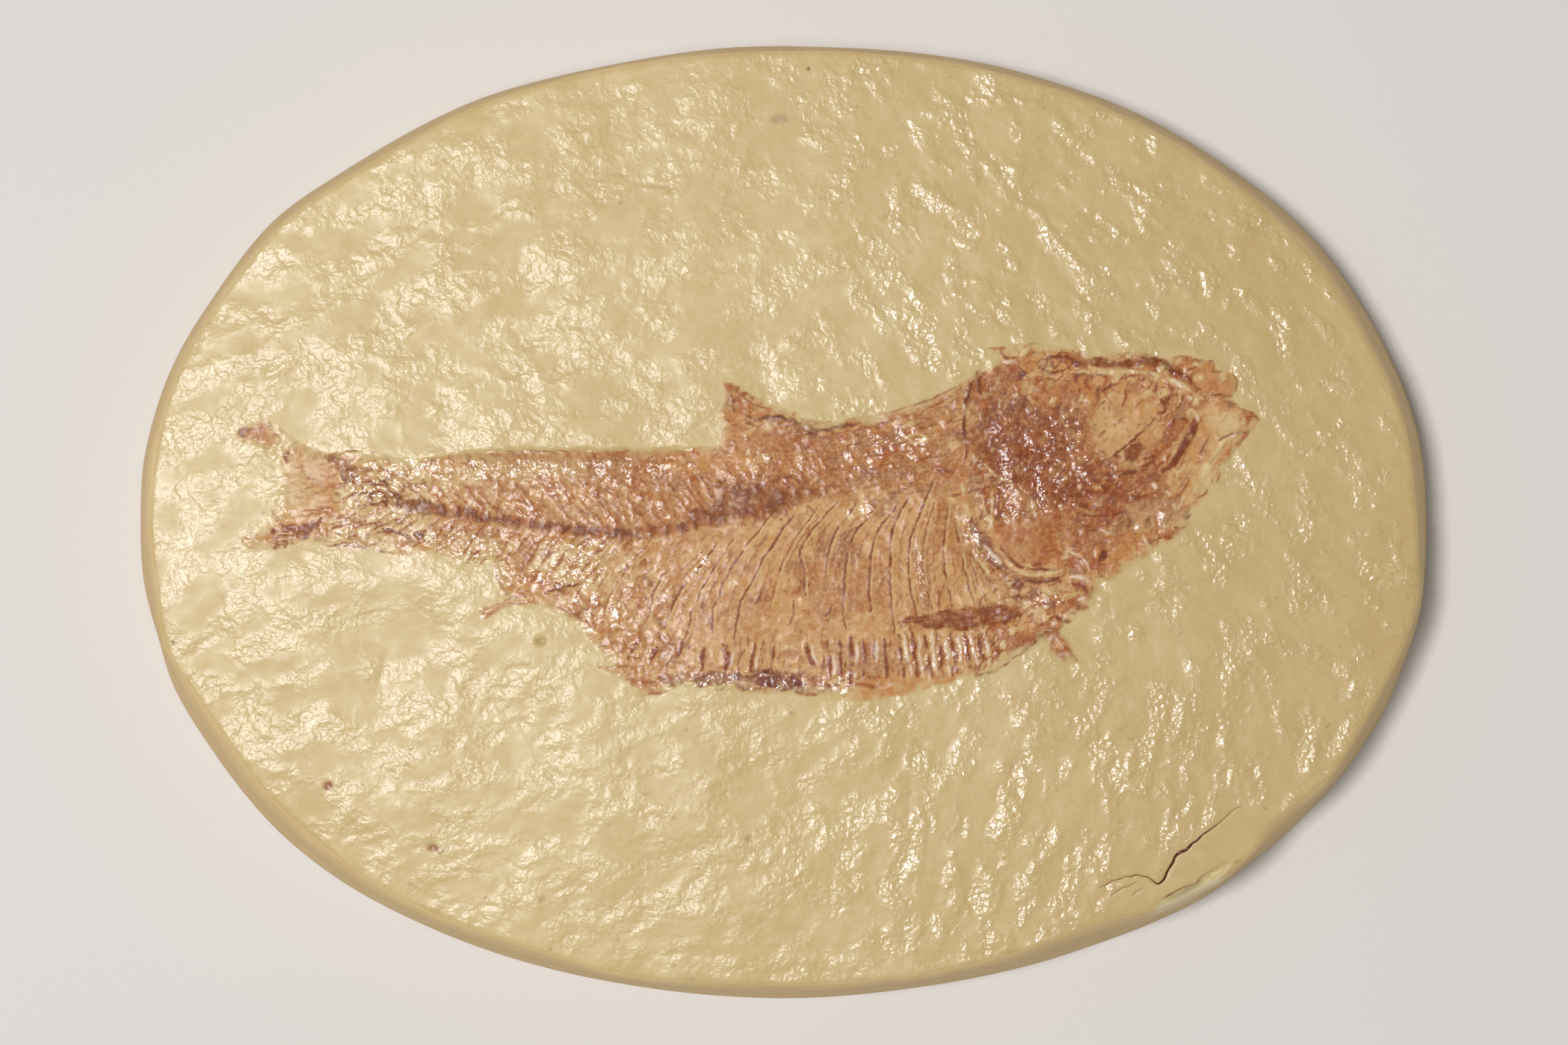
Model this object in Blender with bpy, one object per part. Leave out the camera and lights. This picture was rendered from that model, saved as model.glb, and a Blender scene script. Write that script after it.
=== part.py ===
"""A fossil fish on a hand-cut oval slab of limestone.

The slab lies flat on its sawn underside with the fish facing up. +X runs to the fish's head, +Y to
its back and +Z out of the slab. The origin is on the underside, in the middle of the slab. The
fish is one low relief of bone and stone film that sits in a shallow bed in the slab.
"""

import math

import bmesh
import bpy
from mathutils import Vector, geometry, noise

MM = 0.001

# Driving dimensions, in millimetres
SLAB_THICKNESS = 11.0
FISH_BED_DEPTH = 1.3
FIT_GAP = 0.3
FACE_EDGE_DROP = 0.35
SHOULDER_DROP = 1.3
SHOULDER_SHARE = 0.3
BELLY_OF_WALL = 0.25
FOOT_CHAMFER = 0.5
BROW_WIDTH = 0.8
RIM_POINTS = 124
FACE_POINT_SPACING = 2.05
FACE_POINT_SHIFT = 0.45
LUMP_HEIGHT = 0.24
LUMP_SIZE = 5.2
CRACK_DEPTH = 1.6
CRACK_HALF_WIDTH = 0.22
CHIP_DEPTH = 0.9
CHIP_REACH = 4.0
PIT_DEPTH = 0.5
VERTEBRA_PITCH = 1.28
VERTEBRA_HALF_HEIGHT = 0.45
VERTEBRA_RELIEF = 0.34
FILM_EDGE_RISE = 0.06
FILM_RISE = 0.16
HEAD_BULGE = 0.3
FLANK_BULGE = 0.16
FISH_POINT_SPACING = 1.6
FISH_LUMP_HEIGHT = 0.1
FISH_LUMP_SIZE = 1.7
PLAN_MERGE = 0.03

# The hand-cut rim, clockwise from the left end, in millimetres: a point on the edge of the face, then
# the point below it on the foot of the slanting wall
RIM = [
    (-53.0, 0.0, -55.3, 0.0), (-52.5, 6.0, -54.9, 6.0), (-50.7, 12.4, -52.8, 12.9),
    (-47.3, 18.3, -49.3, 19.0), (-42.3, 24.6, -44.1, 25.7), (-36.6, 28.7, -38.0, 30.1),
    (-29.1, 33.1, -30.4, 34.5), (-22.9, 35.8, -23.8, 37.2), (-14.0, 38.0, -14.5, 39.4),
    (-4.6, 39.2, -4.8, 40.8), (5.0, 39.3, 5.1, 40.8), (13.0, 38.5, 13.4, 40.1), (20.0, 37.0, 20.7, 38.6),
    (28.7, 33.8, 29.8, 35.4), (36.1, 29.4, 37.6, 30.9), (42.0, 24.6, 44.1, 25.8),
    (46.0, 19.8, 48.2, 20.9), (49.3, 14.1, 51.8, 14.8), (51.6, 9.0, 54.0, 9.4), (52.5, 4.2, 55.0, 4.6),
    (53.0, -2.4, 55.2, -2.1), (52.8, -7.1, 54.7, -7.7), (51.1, -11.8, 53.3, -12.1),
    (48.8, -16.1, 51.3, -16.7), (45.7, -21.2, 47.7, -22.0), (41.1, -25.0, 43.4, -26.5),
    (38.5, -28.2, 40.1, -29.2), (34.6, -30.7, 36.3, -32.1), (31.0, -32.3, 32.3, -34.1),
    (26.7, -33.4, 28.0, -35.8), (20.0, -35.8, 20.9, -38.1), (12.0, -37.7, 12.5, -39.8),
    (3.0, -38.6, 3.1, -40.8), (-5.0, -38.5, -5.1, -40.7), (-13.0, -37.9, -13.6, -39.7),
    (-20.7, -35.8, -21.8, -37.9), (-28.0, -33.3, -29.3, -35.3), (-35.0, -29.7, -36.8, -31.6),
    (-40.0, -25.7, -42.4, -27.5), (-43.9, -21.9, -46.3, -23.4), (-47.2, -17.3, -50.0, -18.3),
    (-49.6, -13.8, -52.4, -14.2), (-51.7, -10.3, -53.7, -10.2), (-52.5, -5.2, -55.0, -5.2),
]

# The crack across the lower right corner, the chip in the rim beside it, and the pits in the face
CRACK = [
    (26.4, -30.4), (28.5, -29.6), (30.4, -29.65), (31.4, -30.1), (32.1, -28.9), (32.7, -28.0),
    (34.6, -26.5), (36.9, -24.6), (38.1, -23.7),
]
CHIP = (33.6, -31.3)
PITS = [(-38.1, -22.0, 0.45), (-29.3, -27.2, 0.4), (-20.3, -9.9, 0.55), (2.1, 37.0, 0.35)]

# The outline of the fish, from the tip of the tail's upper lobe along the back to the head
FISH_OUTLINE = [
    (-46.1, 7.3), (-45.2, 8.1), (-43.2, 8.6), (-42.0, 8.0), (-40.6, 6.8), (-38.0, 5.8),
    (-36.9, 6.1), (-34.0, 5.9), (-31.0, 5.3), (-28.5, 5.9), (-24.0, 6.1), (-16.0, 6.2),
    (-9.5, 6.3), (-5.6, 6.6), (-5.0, 8.0), (-5.7, 9.2), (-4.9, 10.0), (-5.0, 11.7), (-4.1, 11.6),
    (-1.6, 10.1), (0.4, 9.4), (3.2, 8.3), (6.5, 8.9), (9.6, 9.6), (13.2, 10.9), (15.2, 12.1),
    (16.2, 12.9), (17.4, 13.4), (17.0, 14.6), (20.7, 15.0), (23.5, 14.7), (26.0, 14.1),
    (29.4, 14.4), (32.0, 13.8), (33.2, 14.1), (35.8, 13.6), (36.2, 12.8), (37.6, 12.5),
    (37.9, 11.5), (37.5, 10.4), (38.2, 9.7), (39.3, 9.2), (40.0, 8.2), (38.2, 6.9), (37.4, 5.4),
    (36.5, 4.5), (36.3, 3.4), (35.0, 2.0), (34.2, 0.8), (33.6, -0.5), (32.6, -1.5), (30.7, -2.6),
    (28.4, -4.3), (26.4, -5.2), (25.9, -7.0), (24.5, -7.8), (23.4, -9.2), (24.9, -11.6),
    (23.3, -11.9), (21.5, -10.2), (19.5, -11.3), (17.8, -12.4), (16.1, -13.0), (13.9, -13.3),
    (11.0, -14.3), (7.5, -14.9), (4.2, -14.9), (0.5, -14.5), (-4.0, -14.2), (-8.8, -13.6),
    (-10.2, -14.5), (-12.5, -14.6), (-13.8, -13.2), (-15.8, -12.3), (-14.8, -11.2), (-15.9, -10.2),
    (-17.0, -8.7), (-18.8, -7.9), (-20.6, -7.3), (-22.6, -7.5), (-25.2, -8.2), (-25.6, -7.2),
    (-23.6, -6.1), (-24.5, -3.6), (-26.6, -3.7), (-28.4, -3.1), (-31.6, -2.8), (-36.0, -2.2),
    (-40.2, -1.9), (-42.4, -2.4), (-44.8, -2.2), (-45.4, -1.5), (-44.4, -0.7), (-42.6, 0.3),
    (-40.0, 1.3), (-39.6, 2.6), (-40.2, 4.1), (-41.6, 4.7), (-42.0, 5.9), (-44.2, 6.3),
    (-45.3, 6.6),
]

# The backbone's middle line, from the tail to the neck
BACKBONE = [
    (-36.6, 2.2), (-33.0, 1.8), (-31.0, 1.5), (-28.0, 1.0), (-24.5, 0.4), (-20.5, -0.3),
    (-17.0, -0.6), (-13.0, -0.9), (-10.0, -0.7), (-7.0, 0.0), (-4.0, 0.8), (-1.0, 1.5), (2.0, 2.5),
    (5.0, 3.1), (8.0, 3.6), (11.0, 3.9), (14.2, 4.4),
]

# The long bones: half width and relief in millimetres, then the points of the middle line
RIBS = [
    (0.17, 0.18, [(-13.5, -1.5), (-15.0, -3.1), (-16.6, -4.9), (-17.6, -6.6)]),
    (0.17, 0.18, [(-11.2, -1.5), (-13.0, -3.8), (-14.5, -6.0), (-15.3, -8.3)]),
    (0.17, 0.18, [(-9.2, -1.2), (-10.9, -3.8), (-12.4, -6.6), (-13.2, -9.2)]),
    (0.17, 0.18, [(-7.6, -0.8), (-9.0, -3.8), (-11.0, -7.2), (-12.0, -9.4)]),
    (0.20, 0.24, [(-5.4, -0.2), (-7.5, -4.0), (-9.4, -7.2), (-10.2, -9.7)]),
    (0.18, 0.20, [(-3.2, 0.4), (-6.0, -4.0), (-7.6, -7.2), (-8.2, -9.8)]),
    (0.18, 0.20, [(-0.6, 1.1), (-3.9, -3.0), (-5.6, -6.6), (-6.1, -9.8)]),
    (0.20, 0.22, [(2.0, 2.0), (-1.4, -2.6), (-3.4, -6.4), (-4.2, -9.8)]),
    (0.17, 0.18, [(3.6, 2.3), (0.3, -2.4), (-0.8, -5.6), (-1.5, -9.6)]),
    (0.20, 0.24, [(5.4, 2.7), (2.2, -1.8), (1.7, -5.6), (1.6, -9.4)]),
    (0.17, 0.18, [(7.2, 3.0), (4.0, -1.8), (3.3, -5.4), (3.5, -9.2)]),
    (0.24, 0.30, [(9.0, 3.3), (5.7, -1.6), (5.0, -5.6), (5.3, -9.2)]),
    (0.24, 0.30, [(10.4, 3.4), (7.6, -1.3), (7.1, -4.8), (7.4, -7.4)]),
    (0.20, 0.24, [(11.5, 3.5), (9.1, -1.0), (8.9, -5.2), (9.4, -9.6)]),
    (0.18, 0.20, [(12.5, 3.5), (10.7, -1.2), (10.6, -5.0), (11.1, -7.4)]),
    (0.20, 0.24, [(13.4, 3.4), (12.0, -0.8), (11.9, -4.6), (12.6, -7.0)]),
    (0.18, 0.20, [(14.2, 2.6), (13.3, -1.4), (13.6, -4.4), (14.1, -6.8)]),
    (0.20, 0.24, [(14.6, 0.6), (14.8, -2.6), (15.4, -4.8), (16.1, -6.6)]),
]
SCUTES = [
    (0.22, 0.20, [(-12.3, -9.8), (-13.0, -11.2)]),
    (0.28, 0.24, [(-10.6, -10.4), (-11.3, -12.1)]),
    (0.24, 0.24, [(-8.6, -10.0), (-9.3, -11.8)]),
    (0.24, 0.22, [(-6.7, -10.5), (-6.9, -12.4)]),
    (0.24, 0.24, [(-4.8, -10.2), (-5.1, -12.6)]),
    (0.22, 0.22, [(-2.5, -10.2), (-2.9, -12.5)]),
    (0.22, 0.22, [(-0.8, -10.5), (-0.9, -12.4)]),
    (0.24, 0.24, [(1.8, -10.2), (2.4, -12.4)]),
    (0.24, 0.26, [(3.6, -9.9), (3.9, -12.8)]),
    (0.24, 0.26, [(5.5, -9.8), (5.4, -13.4)]),
    (0.24, 0.26, [(7.7, -9.9), (8.2, -12.6)]),
    (0.22, 0.24, [(10.2, -9.8), (10.8, -12.8)]),
    (0.28, 0.30, [(11.1, -9.4), (12.1, -12.9)]),
    (0.28, 0.30, [(12.8, -9.3), (13.8, -12.4)]),
    (0.28, 0.30, [(15.1, -9.2), (15.9, -12.0)]),
    (0.26, 0.28, [(16.8, -9.0), (17.6, -11.4)]),
]
HEAD_BONES = [
    (0.60, 0.34, [(17.8, 14.0), (20.6, 13.9), (24.0, 13.5), (28.0, 13.4), (31.4, 13.2), (34.0, 12.5)]),
    (0.75, 0.30, [(34.0, 12.4), (35.6, 11.8), (36.9, 11.6)]),
    (0.30, 0.28, [(26.4, 4.9), (28.6, 6.3), (30.1, 7.6), (31.2, 8.8)]),
    (0.30, 0.22, [(24.9, 8.6), (25.4, 10.4), (27.0, 11.5), (29.4, 11.7), (31.4, 11.2), (33.2, 10.3)]),
    (0.30, 0.20, [(24.9, 8.6), (25.0, 6.8), (26.4, 4.9)]),
    (0.45, 0.32, [(33.2, 9.1), (32.0, 7.3), (30.9, 5.5), (29.8, 4.3)]),
    (0.45, 0.38, [(34.6, 9.0), (34.2, 7.3), (33.1, 5.6), (31.6, 3.8)]),
    (0.35, 0.28, [(36.3, 7.0), (35.1, 5.4), (34.2, 3.8), (33.2, 2.1)]),
    (0.30, 0.18, [(39.5, 8.1), (37.5, 6.4), (36.0, 4.2), (35.0, 2.7)]),
    (0.28, 0.18, [(35.6, 10.0), (37.6, 9.6), (39.3, 8.7)]),
    (0.28, 0.34, [(15.6, 11.6), (15.1, 9.6), (15.0, 7.2), (15.3, 5.6)]),
    (0.40, 0.30, [(16.4, 12.0), (16.4, 10.4), (17.4, 8.4), (17.4, 6.2)]),
    (0.30, 0.24, [(18.2, 10.6), (20.6, 10.3), (23.4, 10.6), (24.9, 8.6)]),
    (0.30, 0.22, [(16.4, 5.2), (17.6, 4.1), (19.0, 3.2)]),
    (0.35, 0.26, [(17.4, 3.6), (17.5, 1.6), (17.3, -0.6)]),
    (0.30, 0.28, [(20.7, 2.6), (21.0, 0.6), (22.2, -0.8), (23.8, -2.2), (25.4, -3.8)]),
    (0.30, 0.22, [(24.4, 0.6), (27.4, 0.7), (30.6, 1.5), (33.0, 0.8)]),
    (0.32, 0.22, [(27.0, 3.0), (27.8, 1.2), (29.8, -0.8), (31.4, -1.4)]),
    (0.45, 0.42, [(15.1, 2.6), (15.3, 0.2), (16.4, -1.6), (17.8, -3.4), (19.3, -4.5), (21.0, -4.9)]),
    (0.32, 0.34, [(21.0, -4.9), (23.1, -4.4), (24.7, -4.6), (25.5, -5.4), (25.4, -6.6)]),
    (0.30, 0.26, [(18.2, -1.6), (19.0, -3.0), (20.6, -3.7), (23.0, -3.8)]),
    (0.40, 0.24, [(20.9, -8.9), (22.4, -7.5), (24.3, -6.7)]),
    (0.30, 0.24, [(16.2, -12.6), (17.9, -12.0), (19.6, -10.9), (21.0, -9.8), (22.9, -8.6)]),
    (0.16, 0.12, [(22.0, -9.8), (23.3, -11.5)]),
    (0.16, 0.12, [(22.8, -9.5), (24.4, -11.4)]),
]
FIN_RAYS = [
    (0.30, 0.28, [(-3.4, 9.0), (-0.9, 8.4), (1.6, 7.9), (4.0, 7.8), (6.4, 8.4)]),
    (0.18, 0.16, [(-4.6, 11.4), (-3.8, 9.4), (-2.6, 7.2)]),
    (0.15, 0.14, [(-3.2, 10.8), (-2.0, 9.2), (-0.6, 7.1)]),
    (0.15, 0.14, [(-1.6, 9.8), (-0.2, 8.8), (1.4, 7.0)]),
    (0.30, 0.24, [(-37.5, 5.3), (-36.9, 4.4), (-36.9, 3.4), (-37.9, 2.4), (-38.2, 1.2)]),
    (0.35, 0.24, [(-38.2, 1.2), (-38.9, 0.0), (-39.8, -1.0), (-41.2, -1.5)]),
    (0.16, 0.12, [(-37.7, 4.8), (-40.6, 5.9), (-43.0, 7.4), (-45.5, 7.4)]),
    (0.14, 0.10, [(-41.8, 7.4), (-43.0, 8.1)]),
    (0.14, 0.10, [(-37.9, 3.6), (-39.4, 4.0)]),
    (0.14, 0.10, [(-38.3, 2.2), (-39.4, 2.2)]),
    (0.18, 0.16, [(-39.0, -0.2), (-41.6, -0.5), (-43.6, -0.8)]),
    (0.18, 0.16, [(-40.0, -1.2), (-42.4, -1.7), (-44.8, -1.6)]),
    (0.20, 0.20, [(-24.1, -3.8), (-23.8, -4.9), (-23.2, -6.0)]),
    (0.14, 0.12, [(-20.6, -6.5), (-22.6, -6.7), (-25.1, -7.5)]),
    (0.14, 0.12, [(-19.4, -5.7), (-21.4, -6.0), (-23.3, -6.4)]),
    (0.12, 0.12, [(-10.4, -13.0), (-12.0, -13.2), (-13.4, -13.0)]),
    (0.14, 0.12, [(-10.3, -14.2), (-12.2, -14.2)]),
    (0.14, 0.12, [(-12.8, -11.5), (-15.2, -12.0)]),
    (0.40, 0.24, [(-9.8, -13.0), (-6.4, -13.1), (-3.0, -13.3), (0.0, -13.3), (2.4, -13.9)]),
]
PADDLE_FIN = [(0.16, 9.2, -8.2), (0.5, 12.0, -8.0), (0.8, 15.2, -7.9), (0.75, 18.2, -7.7), (0.3, 20.2, -7.9)]
PADDLE_FIN_RELIEF = 0.34

# Swellings of the body, in millimetres: middle, half length, half height, rise
SWELLINGS = [
    (24.0, 4.0, 13.0, 9.5, HEAD_BULGE),
    (3.0, -4.0, 22.0, 9.5, FLANK_BULGE),
    (-20.0, 1.0, 17.0, 5.0, 0.1),
    (20.8, -1.4, 3.2, 2.6, 0.2),
    (28.0, 8.4, 2.6, 2.6, -0.14),
]


def ease(t):
    """Smooth step from 0 to 1."""
    t = min(1.0, max(0.0, t))
    return t * t * (3.0 - 2.0 * t)


def curve_point(points, t, closed):
    """Point at t on the smooth curve through the points; t counts points from the first one."""
    count = len(points)
    step = min(int(t), count - 1 if closed else count - 2)
    part = t - step
    picked = []
    for offset in (-1, 0, 1, 2):
        index = step + offset
        index = index % count if closed else min(count - 1, max(0, index))
        picked.append(Vector(points[index]))
    before, start, end, after = picked
    return 0.5 * (2.0 * start + (end - before) * part
                  + (2.0 * before - 5.0 * start + 4.0 * end - after) * part ** 2
                  + (3.0 * start - before - 3.0 * end + after) * part ** 3)


def even_steps(points, closed, count):
    """The t values of count points at even distances along the smooth curve."""
    spans = len(points) if closed else len(points) - 1
    fine = [spans * i / (40 * spans) for i in range(40 * spans + 1)]
    places = [curve_point(points, min(t, spans - 1e-6), closed) for t in fine]
    walked = [0.0]
    for one, two in zip(places, places[1:]):
        walked.append(walked[-1] + (two - one).length)
    steps = []
    index = 0
    for number in range(count):
        target = walked[-1] * number / (count if closed else count - 1)
        while index < len(walked) - 2 and walked[index + 1] < target:
            index += 1
        part = (target - walked[index]) / (walked[index + 1] - walked[index])
        steps.append(min(fine[index] + part * (fine[index + 1] - fine[index]), spans - 1e-6))
    return steps


def inside(place, outline):
    """True where a place lies inside a closed outline."""
    x, y = place[0], place[1]
    hit = False
    for (x1, y1), (x2, y2) in zip(outline, outline[1:] + outline[:1]):
        if (y1 > y) != (y2 > y) and x < (x2 - x1) * (y - y1) / (y2 - y1) + x1:
            hit = not hit
    return hit


def distance_to_line(place, line, closed=False):
    """Shortest distance from a place to a line of points."""
    place = Vector(place[:2])
    ends = line[1:] + line[:1] if closed else line[1:]
    best = 1e9
    for one, two in zip(line, ends):
        near, along = geometry.intersect_point_line(place, Vector(one), Vector(two))
        along = min(1.0, max(0.0, along))
        near = Vector(one[:2]).lerp(Vector(two[:2]), along)
        best = min(best, (place - near).length)
    return best


def grown(outline, distance):
    """The outline moved outwards; the points run clockwise."""
    moved = []
    for before, here, after in zip(outline[-1:] + outline[:-1], outline, outline[1:] + outline[:1]):
        one = (Vector(here) - Vector(before)).normalized()
        two = (Vector(after) - Vector(here)).normalized()
        out = Vector((-(one.y + two.y), one.x + two.x))
        if out.length < 1e-6:
            out = Vector((-one.y, one.x))
        out.normalize()
        stretch = max(0.75, out.dot(Vector((-one.y, one.x))))
        moved.append(tuple(Vector(here) + out * distance / stretch))
    return moved


def scattered(outline, spacing, shift, clearance, seed):
    """Places on a shaken triangular grid inside an outline, clear of its edge."""
    low_x = min(p[0] for p in outline)
    high_x = max(p[0] for p in outline)
    low_y = min(p[1] for p in outline)
    high_y = max(p[1] for p in outline)
    places = []
    row = 0
    y = low_y
    while y < high_y:
        x = low_x + (0.5 * spacing if row % 2 else 0.0)
        while x < high_x:
            push = noise.noise_vector(Vector((x * 0.9, y * 0.9, seed)))
            place = (x + push.x * shift * 2.0, y + push.y * shift * 2.0)
            if inside(place, outline) and distance_to_line(place, outline, True) > clearance:
                places.append(place)
            x += spacing
        y += spacing * 0.866
        row += 1
    return places


def triangulated(outline, loose, lines):
    """Points and triangles that fill an outline and follow the given lines."""
    points = [Vector(p) for p in outline]
    edges = []
    for line in lines:
        first = len(points)
        points += [Vector(p) for p in line]
        edges += [(first + i, first + i + 1) for i in range(len(line) - 1)]
    points += [Vector(p) for p in loose]
    face = list(range(len(outline)))
    result = geometry.delaunay_2d_cdt(points, edges, [face], 1, PLAN_MERGE)
    return result[0], result[2]


def make_object(name, mesh_data, material):
    """Turn a bmesh into a named object in metres."""
    bmesh.ops.recalc_face_normals(mesh_data, faces=mesh_data.faces)
    mesh = bpy.data.meshes.new(name)
    mesh_data.to_mesh(mesh)
    mesh_data.free()
    mesh.materials.append(material)
    mesh.shade_smooth()
    mesh.set_sharp_from_angle(angle=math.radians(38))
    thing = bpy.data.objects.new(name, mesh)
    bpy.context.scene.collection.objects.link(thing)
    return thing


def make_material(name, colour, roughness):
    """A plain material with the colour of the piece."""
    material = bpy.data.materials.new(name)
    material.use_nodes = True
    shader = material.node_tree.nodes["Principled BSDF"]
    shader.inputs["Base Color"].default_value = (*colour, 1.0)
    shader.inputs["Roughness"].default_value = roughness
    shader.inputs["Metallic"].default_value = 0.0
    shader.inputs["Coat Weight"].default_value = 0.6
    shader.inputs["Coat Roughness"].default_value = 0.15
    material.diffuse_color = (*colour, 1.0)
    return material


def side_lines(line, half_width):
    """The two lines that run beside a middle line, meeting it at its ends."""
    left, right = [line[0]], [line[0]]
    for index in range(len(line)):
        before = Vector(line[max(0, index - 1)])
        after = Vector(line[min(len(line) - 1, index + 1)])
        along = (after - before).normalized()
        across = Vector((-along.y, along.x)) * half_width
        here = Vector(line[index])
        if index == 0:
            here = here + along * half_width
        if index == len(line) - 1:
            here = here - along * half_width
        left.append(tuple(here + across))
        right.append(tuple(here - across))
    left.append(line[-1])
    right.append(line[-1])
    return left, right


def backbone_at(x):
    """Height of the backbone's middle line at a place along the fish."""
    for (x1, y1), (x2, y2) in zip(BACKBONE, BACKBONE[1:]):
        if x <= x2:
            return y1 + (y2 - y1) * (x - x1) / (x2 - x1)
    return BACKBONE[-1][1]


def spines():
    """The thin spines that lean back from the backbone, above it and behind the ribs below it."""
    bones = []
    x = -31.0
    while x < 14.0:
        forward = ease((x + 30.0) / 44.0)
        root = backbone_at(x) + VERTEBRA_HALF_HEIGHT
        lean = 1.9 + 0.7 * forward
        rise = 1.9 + 1.7 * forward
        middle = (x - 0.55 * lean, root + 0.42 * rise)
        bones.append((0.14, 0.15, [(x, root), middle, (x - lean, root + rise)]))
        if x < -14.5:
            root = backbone_at(x) - VERTEBRA_HALF_HEIGHT
            drop = 1.6 + 1.6 * ease((x + 31.0) / 12.0)
            bones.append((0.14, 0.15, [(x, root), (x - 1.1, root - 0.45 * drop), (x - 2.3, root - drop)]))
        x += 1.5 * VERTEBRA_PITCH
    return bones


def backbone_lines():
    """Middle and side lines of the vertebrae, which are wide at each one and pinched between."""
    length = sum((Vector(b) - Vector(a)).length for a, b in zip(BACKBONE, BACKBONE[1:]))
    halves = 2 * round(length / VERTEBRA_PITCH) + 1
    middle, upper, lower = [], [], []
    for number, t in enumerate(even_steps(BACKBONE, False, halves)):
        here = curve_point(BACKBONE, t, False)
        size = VERTEBRA_HALF_HEIGHT * (1.0 if number % 2 else 0.72)
        middle.append(tuple(here))
        upper.append((here.x, here.y + size))
        lower.append((here.x, here.y - size))
    return middle, upper, lower


def stone_height(place):
    """Height of the lumpy face of the stone, without the cracks."""
    spot = Vector((place[0], place[1], 0.0)) / LUMP_SIZE
    lump = noise.noise(spot) + 0.5 * noise.noise(spot * 2.1 + Vector((7.3, 1.9, 4.4)))
    smooth_corner = ease((distance_to_line(place, CRACK) - 1.0) / 4.0) if place[0] > 24.0 else 1.0
    return SLAB_THICKNESS + LUMP_HEIGHT * lump * (0.25 + 0.75 * smooth_corner)


def build_slab(fish_bed):
    """The limestone: a lumpy face, a slanting wall, a flat underside and the bed for the fish."""
    rim = [curve_point(RIM, t, True) for t in even_steps(RIM, True, RIM_POINTS)]
    edge = [Vector(p[0:2]) for p in rim]
    foot = [Vector(p[2:4]) for p in rim]
    brow = [tuple(top + (top - low).normalized() * BROW_WIDTH) for top, low in zip(edge, foot)]

    crack_sides = side_lines(CRACK, CRACK_HALF_WIDTH)
    pit_rims = []
    for x, y, radius in PITS:
        turns = [math.tau * i / 6 for i in range(7)]
        pit_rims.append([(x + radius * math.cos(a), y + radius * math.sin(a)) for a in turns])
    loose = []
    for place in scattered(brow, FACE_POINT_SPACING, FACE_POINT_SHIFT, 0.9, 3.0):
        clear_of_bed = not inside(place, fish_bed) and distance_to_line(place, fish_bed, True) > 0.8
        if clear_of_bed and distance_to_line(place, CRACK) > 0.7:
            loose.append(place)
    loose += [(x, y) for x, y, radius in PITS]
    lines = [fish_bed + fish_bed[:1], CRACK, *crack_sides, *pit_rims]
    points, triangles = triangulated(brow, loose, lines)

    slab = bmesh.new()
    corners = []
    for point in points:
        z = stone_height(point)
        if distance_to_line(point, CRACK) < 0.06:
            z -= CRACK_DEPTH
        if any(math.dist(point, (x, y)) < 0.1 for x, y, radius in PITS):
            z -= PIT_DEPTH
        corners.append(slab.verts.new((point.x * MM, point.y * MM, z * MM)))
    for triangle in triangles:
        middle = sum((points[i] for i in triangle), Vector((0.0, 0.0))) / 3.0
        if not inside(middle, fish_bed):
            slab.faces.new([corners[i] for i in triangle])

    for corner in [v for v in slab.verts if not v.link_faces]:
        slab.verts.remove(corner)
    borders = [e for e in slab.edges if e.is_boundary]
    bed_rim = [e for e in borders if (sum((v.co for v in e.verts), Vector()) / 2).length < 49 * MM
               and distance_to_line([c / MM for c in e.verts[0].co[:2]], fish_bed, True) < 0.1]
    walls = bmesh.ops.extrude_edge_only(slab, edges=bed_rim)["geom"]
    floor_edges = []
    for part in walls:
        if isinstance(part, bmesh.types.BMVert):
            part.co.z = (SLAB_THICKNESS - FISH_BED_DEPTH) * MM
        if isinstance(part, bmesh.types.BMEdge):
            floor_edges.append(part)
    bmesh.ops.contextual_create(slab, geom=floor_edges)

    rings = []
    for share, z in (
        (0.0, SLAB_THICKNESS - FACE_EDGE_DROP),
        (SHOULDER_SHARE, SLAB_THICKNESS - SHOULDER_DROP),
        (0.62, SLAB_THICKNESS * 0.48),
        (1.0, FOOT_CHAMFER),
        (0.8, 0.0),
    ):
        ring = []
        for top, low in zip(edge, foot):
            rough = BELLY_OF_WALL * noise.noise(Vector((top.x * 0.12, top.y * 0.12, z * 0.6)))
            place = top.lerp(low, share)
            if 0.0 < share < 1.0 and z > FOOT_CHAMFER:
                place = place + place.normalized() * rough
            chipped = CHIP_DEPTH * (1.0 - ease(math.dist(place, CHIP) / CHIP_REACH))
            drop = chipped if share <= SHOULDER_SHARE else 0.0
            ring.append(slab.verts.new((place.x * MM, place.y * MM, (z - drop) * MM)))
        rings.append(ring)
    brow_corners = corners[:RIM_POINTS]
    for upper, lower in zip([brow_corners] + rings, rings):
        for i in range(RIM_POINTS):
            j = (i + 1) % RIM_POINTS
            slab.faces.new((upper[i], upper[j], lower[j], lower[i]))
    slab.faces.new(rings[-1])
    return slab


def fish_relief(place, bones, vertebrae):
    """Height of the fish above the face of the slab at a place."""
    rise = FILM_RISE
    for x, y, half_length, half_height, height in SWELLINGS:
        away = math.hypot((place[0] - x) / half_length, (place[1] - y) / half_height)
        rise += height * (1.0 - ease(away))
    spot = Vector((place[0], place[1], 9.0)) / FISH_LUMP_SIZE
    rise += FISH_LUMP_HEIGHT * noise.noise(spot)
    ridge = 0.0
    for half_width, height, line in bones:
        if min(p[0] for p in line) - 1.0 < place[0] < max(p[0] for p in line) + 1.0:
            ridge = max(ridge, height * (1.0 - distance_to_line(place, line) / half_width))
    for number, middle in enumerate(vertebrae):
        if math.dist(place, middle) < 0.05:
            ridge = max(ridge, VERTEBRA_RELIEF * (1.0 if number % 2 else 0.55))
    return rise + ridge


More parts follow.
